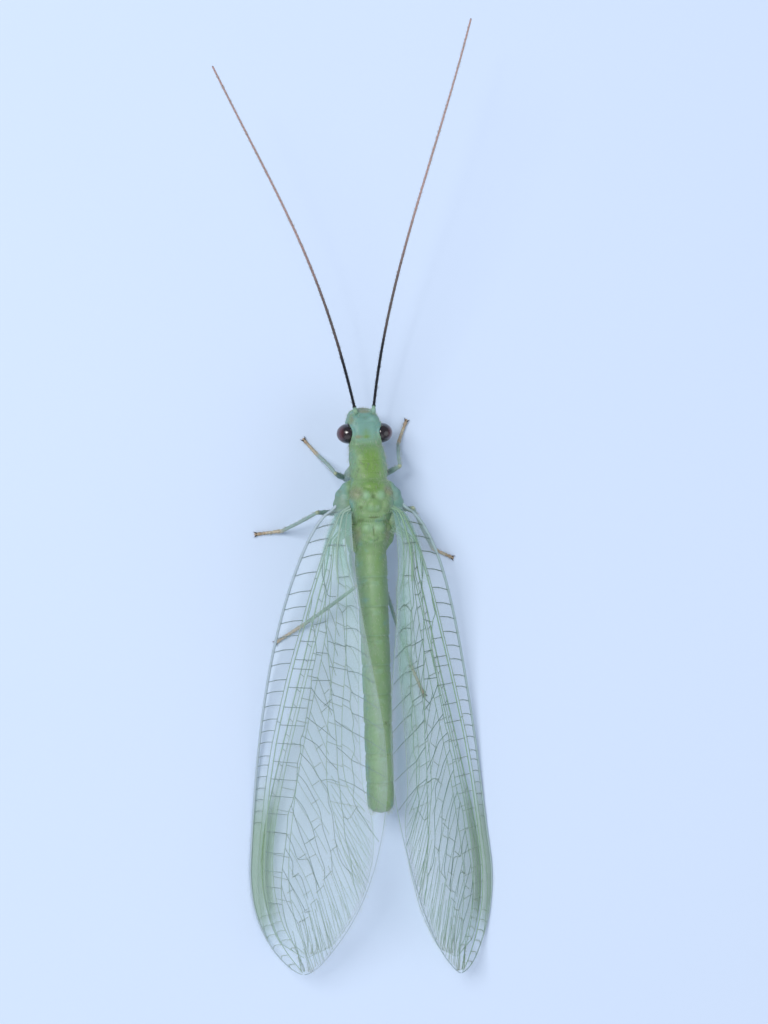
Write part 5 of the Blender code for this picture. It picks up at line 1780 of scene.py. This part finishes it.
class MakeHair(bpy.types.Operator):
    """Make the fine hairs of wings, body, legs and feelers"""
    bl_idname = "lacewing.hair"
    bl_label = "Hairs"

    def execute(self, context):
        settings = context.scene.lacewing
        finish = hair_finish(settings.hair)
        rng = np.random.default_rng(SEED)
        for wing in MEMBRANE_GRID:
            lines = list(vein_lines(wing))
            for side in SIDES:
                add_hair(f"{wing}_{side}_hairs", *wing_hair(wing, side, lines, settings.hair, rng), finish, "wing")
        add_hair("body_hairs", *body_hair(settings.hair, rng), finish, "thorax")
        limbs = []
        for key in LEG_JOINTS:
            body, ring, knee, heel, toe = leg_joints(key)
            shares = np.linspace(0, 1, 20)
            limbs.append((bowed(body, ring, (0, 0, 0), 20), read_curve(COXA, shares)[:, 0]))
            limbs.append((bowed(ring, knee, (0, 0, 0), 20), read_curve(THIGH_SWELL, shares)[:, 0] * settings.legs.thigh / MM / 2))
            limbs.append((bowed(knee, heel, (0, 0, 0.05), 20), read_curve(SHIN_SWELL, shares)[:, 0] * settings.legs.shin / MM / 2))
            limbs.append((foot_line(heel, toe), np.full(60, FOOT_RADIUS * 0.85)))
        roots, leans, reach, places = limb_hair(limbs, 95, settings.hair.leg / MM, rng)
        add_hair("leg_hairs", roots, leans, reach, 0.0036, places, rng.random(len(roots)) * 0.6, finish, "leg")
        whips = []
        for side in SIDES:
            line, along = feeler_path(side)
            at = np.linspace(0.05, along[-1] - 0.05, 300)
            path = np.column_stack([np.interp(at, along, line[:, k]) for k in range(3)])
            radii = settings.feelers.thick / MM / 2 * read_curve(FEELER_SWELL, at)[:, 0]
            whips.append((path, radii))
        roots, leans, reach, places = limb_hair(whips, 90, 0.075, rng)
        dark = np.clip(1.0 - (np.linalg.norm(roots - np.array([0, 2.8, 2.1]), axis=1) - 2.0) / 2.5, 0.35, 1.0)
        add_hair("feeler_hairs", roots, leans, reach, 0.0034, places, dark, finish, "feeler_end")
        return {"FINISHED"}


# Stage

TARGET = (0.57, -0.5, 2.0)  # what the camera looks at, in millimetres
LEAN = 10.0                 # the camera stands this many degrees to the insect's left of straight above
ROLL = 2.0


def stage_finish(colour):
    """The floor's plain pale paint, with the faintest mottle."""
    finish = Finish("pale_floor", Specular_IOR_Level=0.2)
    cloud = finish.noise(0.05, 2.0)
    finish.set(Base_Color=finish.mix(cloud * 0.06, tuple(colour), (1.0, 1.0, 1.0)), Roughness=0.8 + cloud * 0.1)
    return finish.material


class MakeStage(bpy.types.Operator):
    """Make the floor, the lights and the camera"""
    bl_idname = "lacewing.stage"
    bl_label = "Stage"

    def execute(self, context):
        settings = context.scene.lacewing.stage
        half = 400.0
        corners = np.array([(-half, -half, 0), (half, -half, 0), (half, half, 0), (-half, half, 0)], float)
        mesh = to_mesh("floor", corners, [(0, 1, 2, 3)])
        mesh.materials.append(stage_finish(settings.floor))
        floor = bpy.data.objects.new("floor", mesh)
        bpy.context.collection.objects.link(floor)
        lights = (
            ("key_light", (-110, 70, 215), 110, 0.380, (1.0, 0.99, 0.97)),
            ("eye_light", (-94, 34, 232), 17, 0.036, (1.0, 1.0, 1.0)),
            ("fill_light", (180, -60, 160), 240, 0.135, (0.94, 0.97, 1.0)),
            ("rear_light", (-60, -200, 150), 300, 0.13, (0.96, 0.98, 1.0)),
        )
        for name, place, size, share, colour in lights:
            lamp = bpy.data.lights.new(name, "AREA")
            lamp.shape = "DISK"
            lamp.size = size * MM
            lamp.energy = share * settings.power
            lamp.color = colour
            light = bpy.data.objects.new(name, lamp)
            way = Vector(place) * MM
            light.location = way
            light.rotation_euler = (-way).to_track_quat("-Z", "Y").to_euler()
            bpy.context.collection.objects.link(light)
        world = bpy.data.worlds.new("soft_room")
        world.use_nodes = True
        world.node_tree.nodes["Background"].inputs["Color"].default_value = (0.80, 0.87, 1.0, 1.0)
        world.node_tree.nodes["Background"].inputs["Strength"].default_value = 0.381
        context.scene.world = world
        lean, roll = math.radians(LEAN), math.radians(ROLL)
        back = Vector((-math.sin(lean), 0.0, math.cos(lean)))
        level = Vector((math.cos(lean), 0.0, math.sin(lean)))
        right = level * math.cos(roll) - Vector((0, 1, 0)) * math.sin(roll)
        up = Vector((0, 1, 0)) * math.cos(roll) + level * math.sin(roll)
        lens = bpy.data.cameras.new("camera")
        lens.lens = settings.lens
        lens.sensor_width = 36.0
        lens.clip_start = 0.005
        lens.clip_end = 10.0
        camera = bpy.data.objects.new("camera", lens)
        place = Vector(np.array(TARGET) + MIDDLE) * MM + back * settings.distance
        camera.matrix_world = Matrix.Translation(place) @ Matrix((right, up, back)).transposed().to_4x4()
        bpy.context.collection.objects.link(camera)
        context.scene.camera = camera
        context.scene.view_settings.view_transform = "Standard"
        return {"FINISHED"}


PIECES = (MakeStage, MakeBody, MakeEyes, MakeMouth, MakeFeelers, MakeLegs, MakeClaws, MakeRoots, MakeMembranes, MakeVeins, MakeHair)


class LacewingPanel(bpy.types.Panel):
    """Lists the pieces in the sidebar"""
    bl_idname = "VIEW3D_PT_lacewing"
    bl_label = "Green lacewing"
    bl_space_type = "VIEW_3D"
    bl_region_type = "UI"
    bl_category = "Lacewing"

    def draw(self, context):
        for piece in PIECES:
            self.layout.operator(piece.bl_idname)


SETTINGS = (
    BodySettings, EyeSettings, FeelerSettings, LegSettings, WingSettings, HairSettings, StageSettings,
    LacewingSettings)


def register():
    for made in (*SETTINGS, *PIECES, LacewingPanel):
        bpy.utils.register_class(made)
    bpy.types.Scene.lacewing = PointerProperty(type=LacewingSettings)


def unregister():
    del bpy.types.Scene.lacewing
    for made in reversed((*SETTINGS, *PIECES, LacewingPanel)):
        bpy.utils.unregister_class(made)


def main():
    register()
    for piece in PIECES:
        group, name = piece.bl_idname.split(".")
        getattr(getattr(bpy.ops, group), name)()
    bpy.context.view_layer.update()


if __name__ == "__main__":
    main()
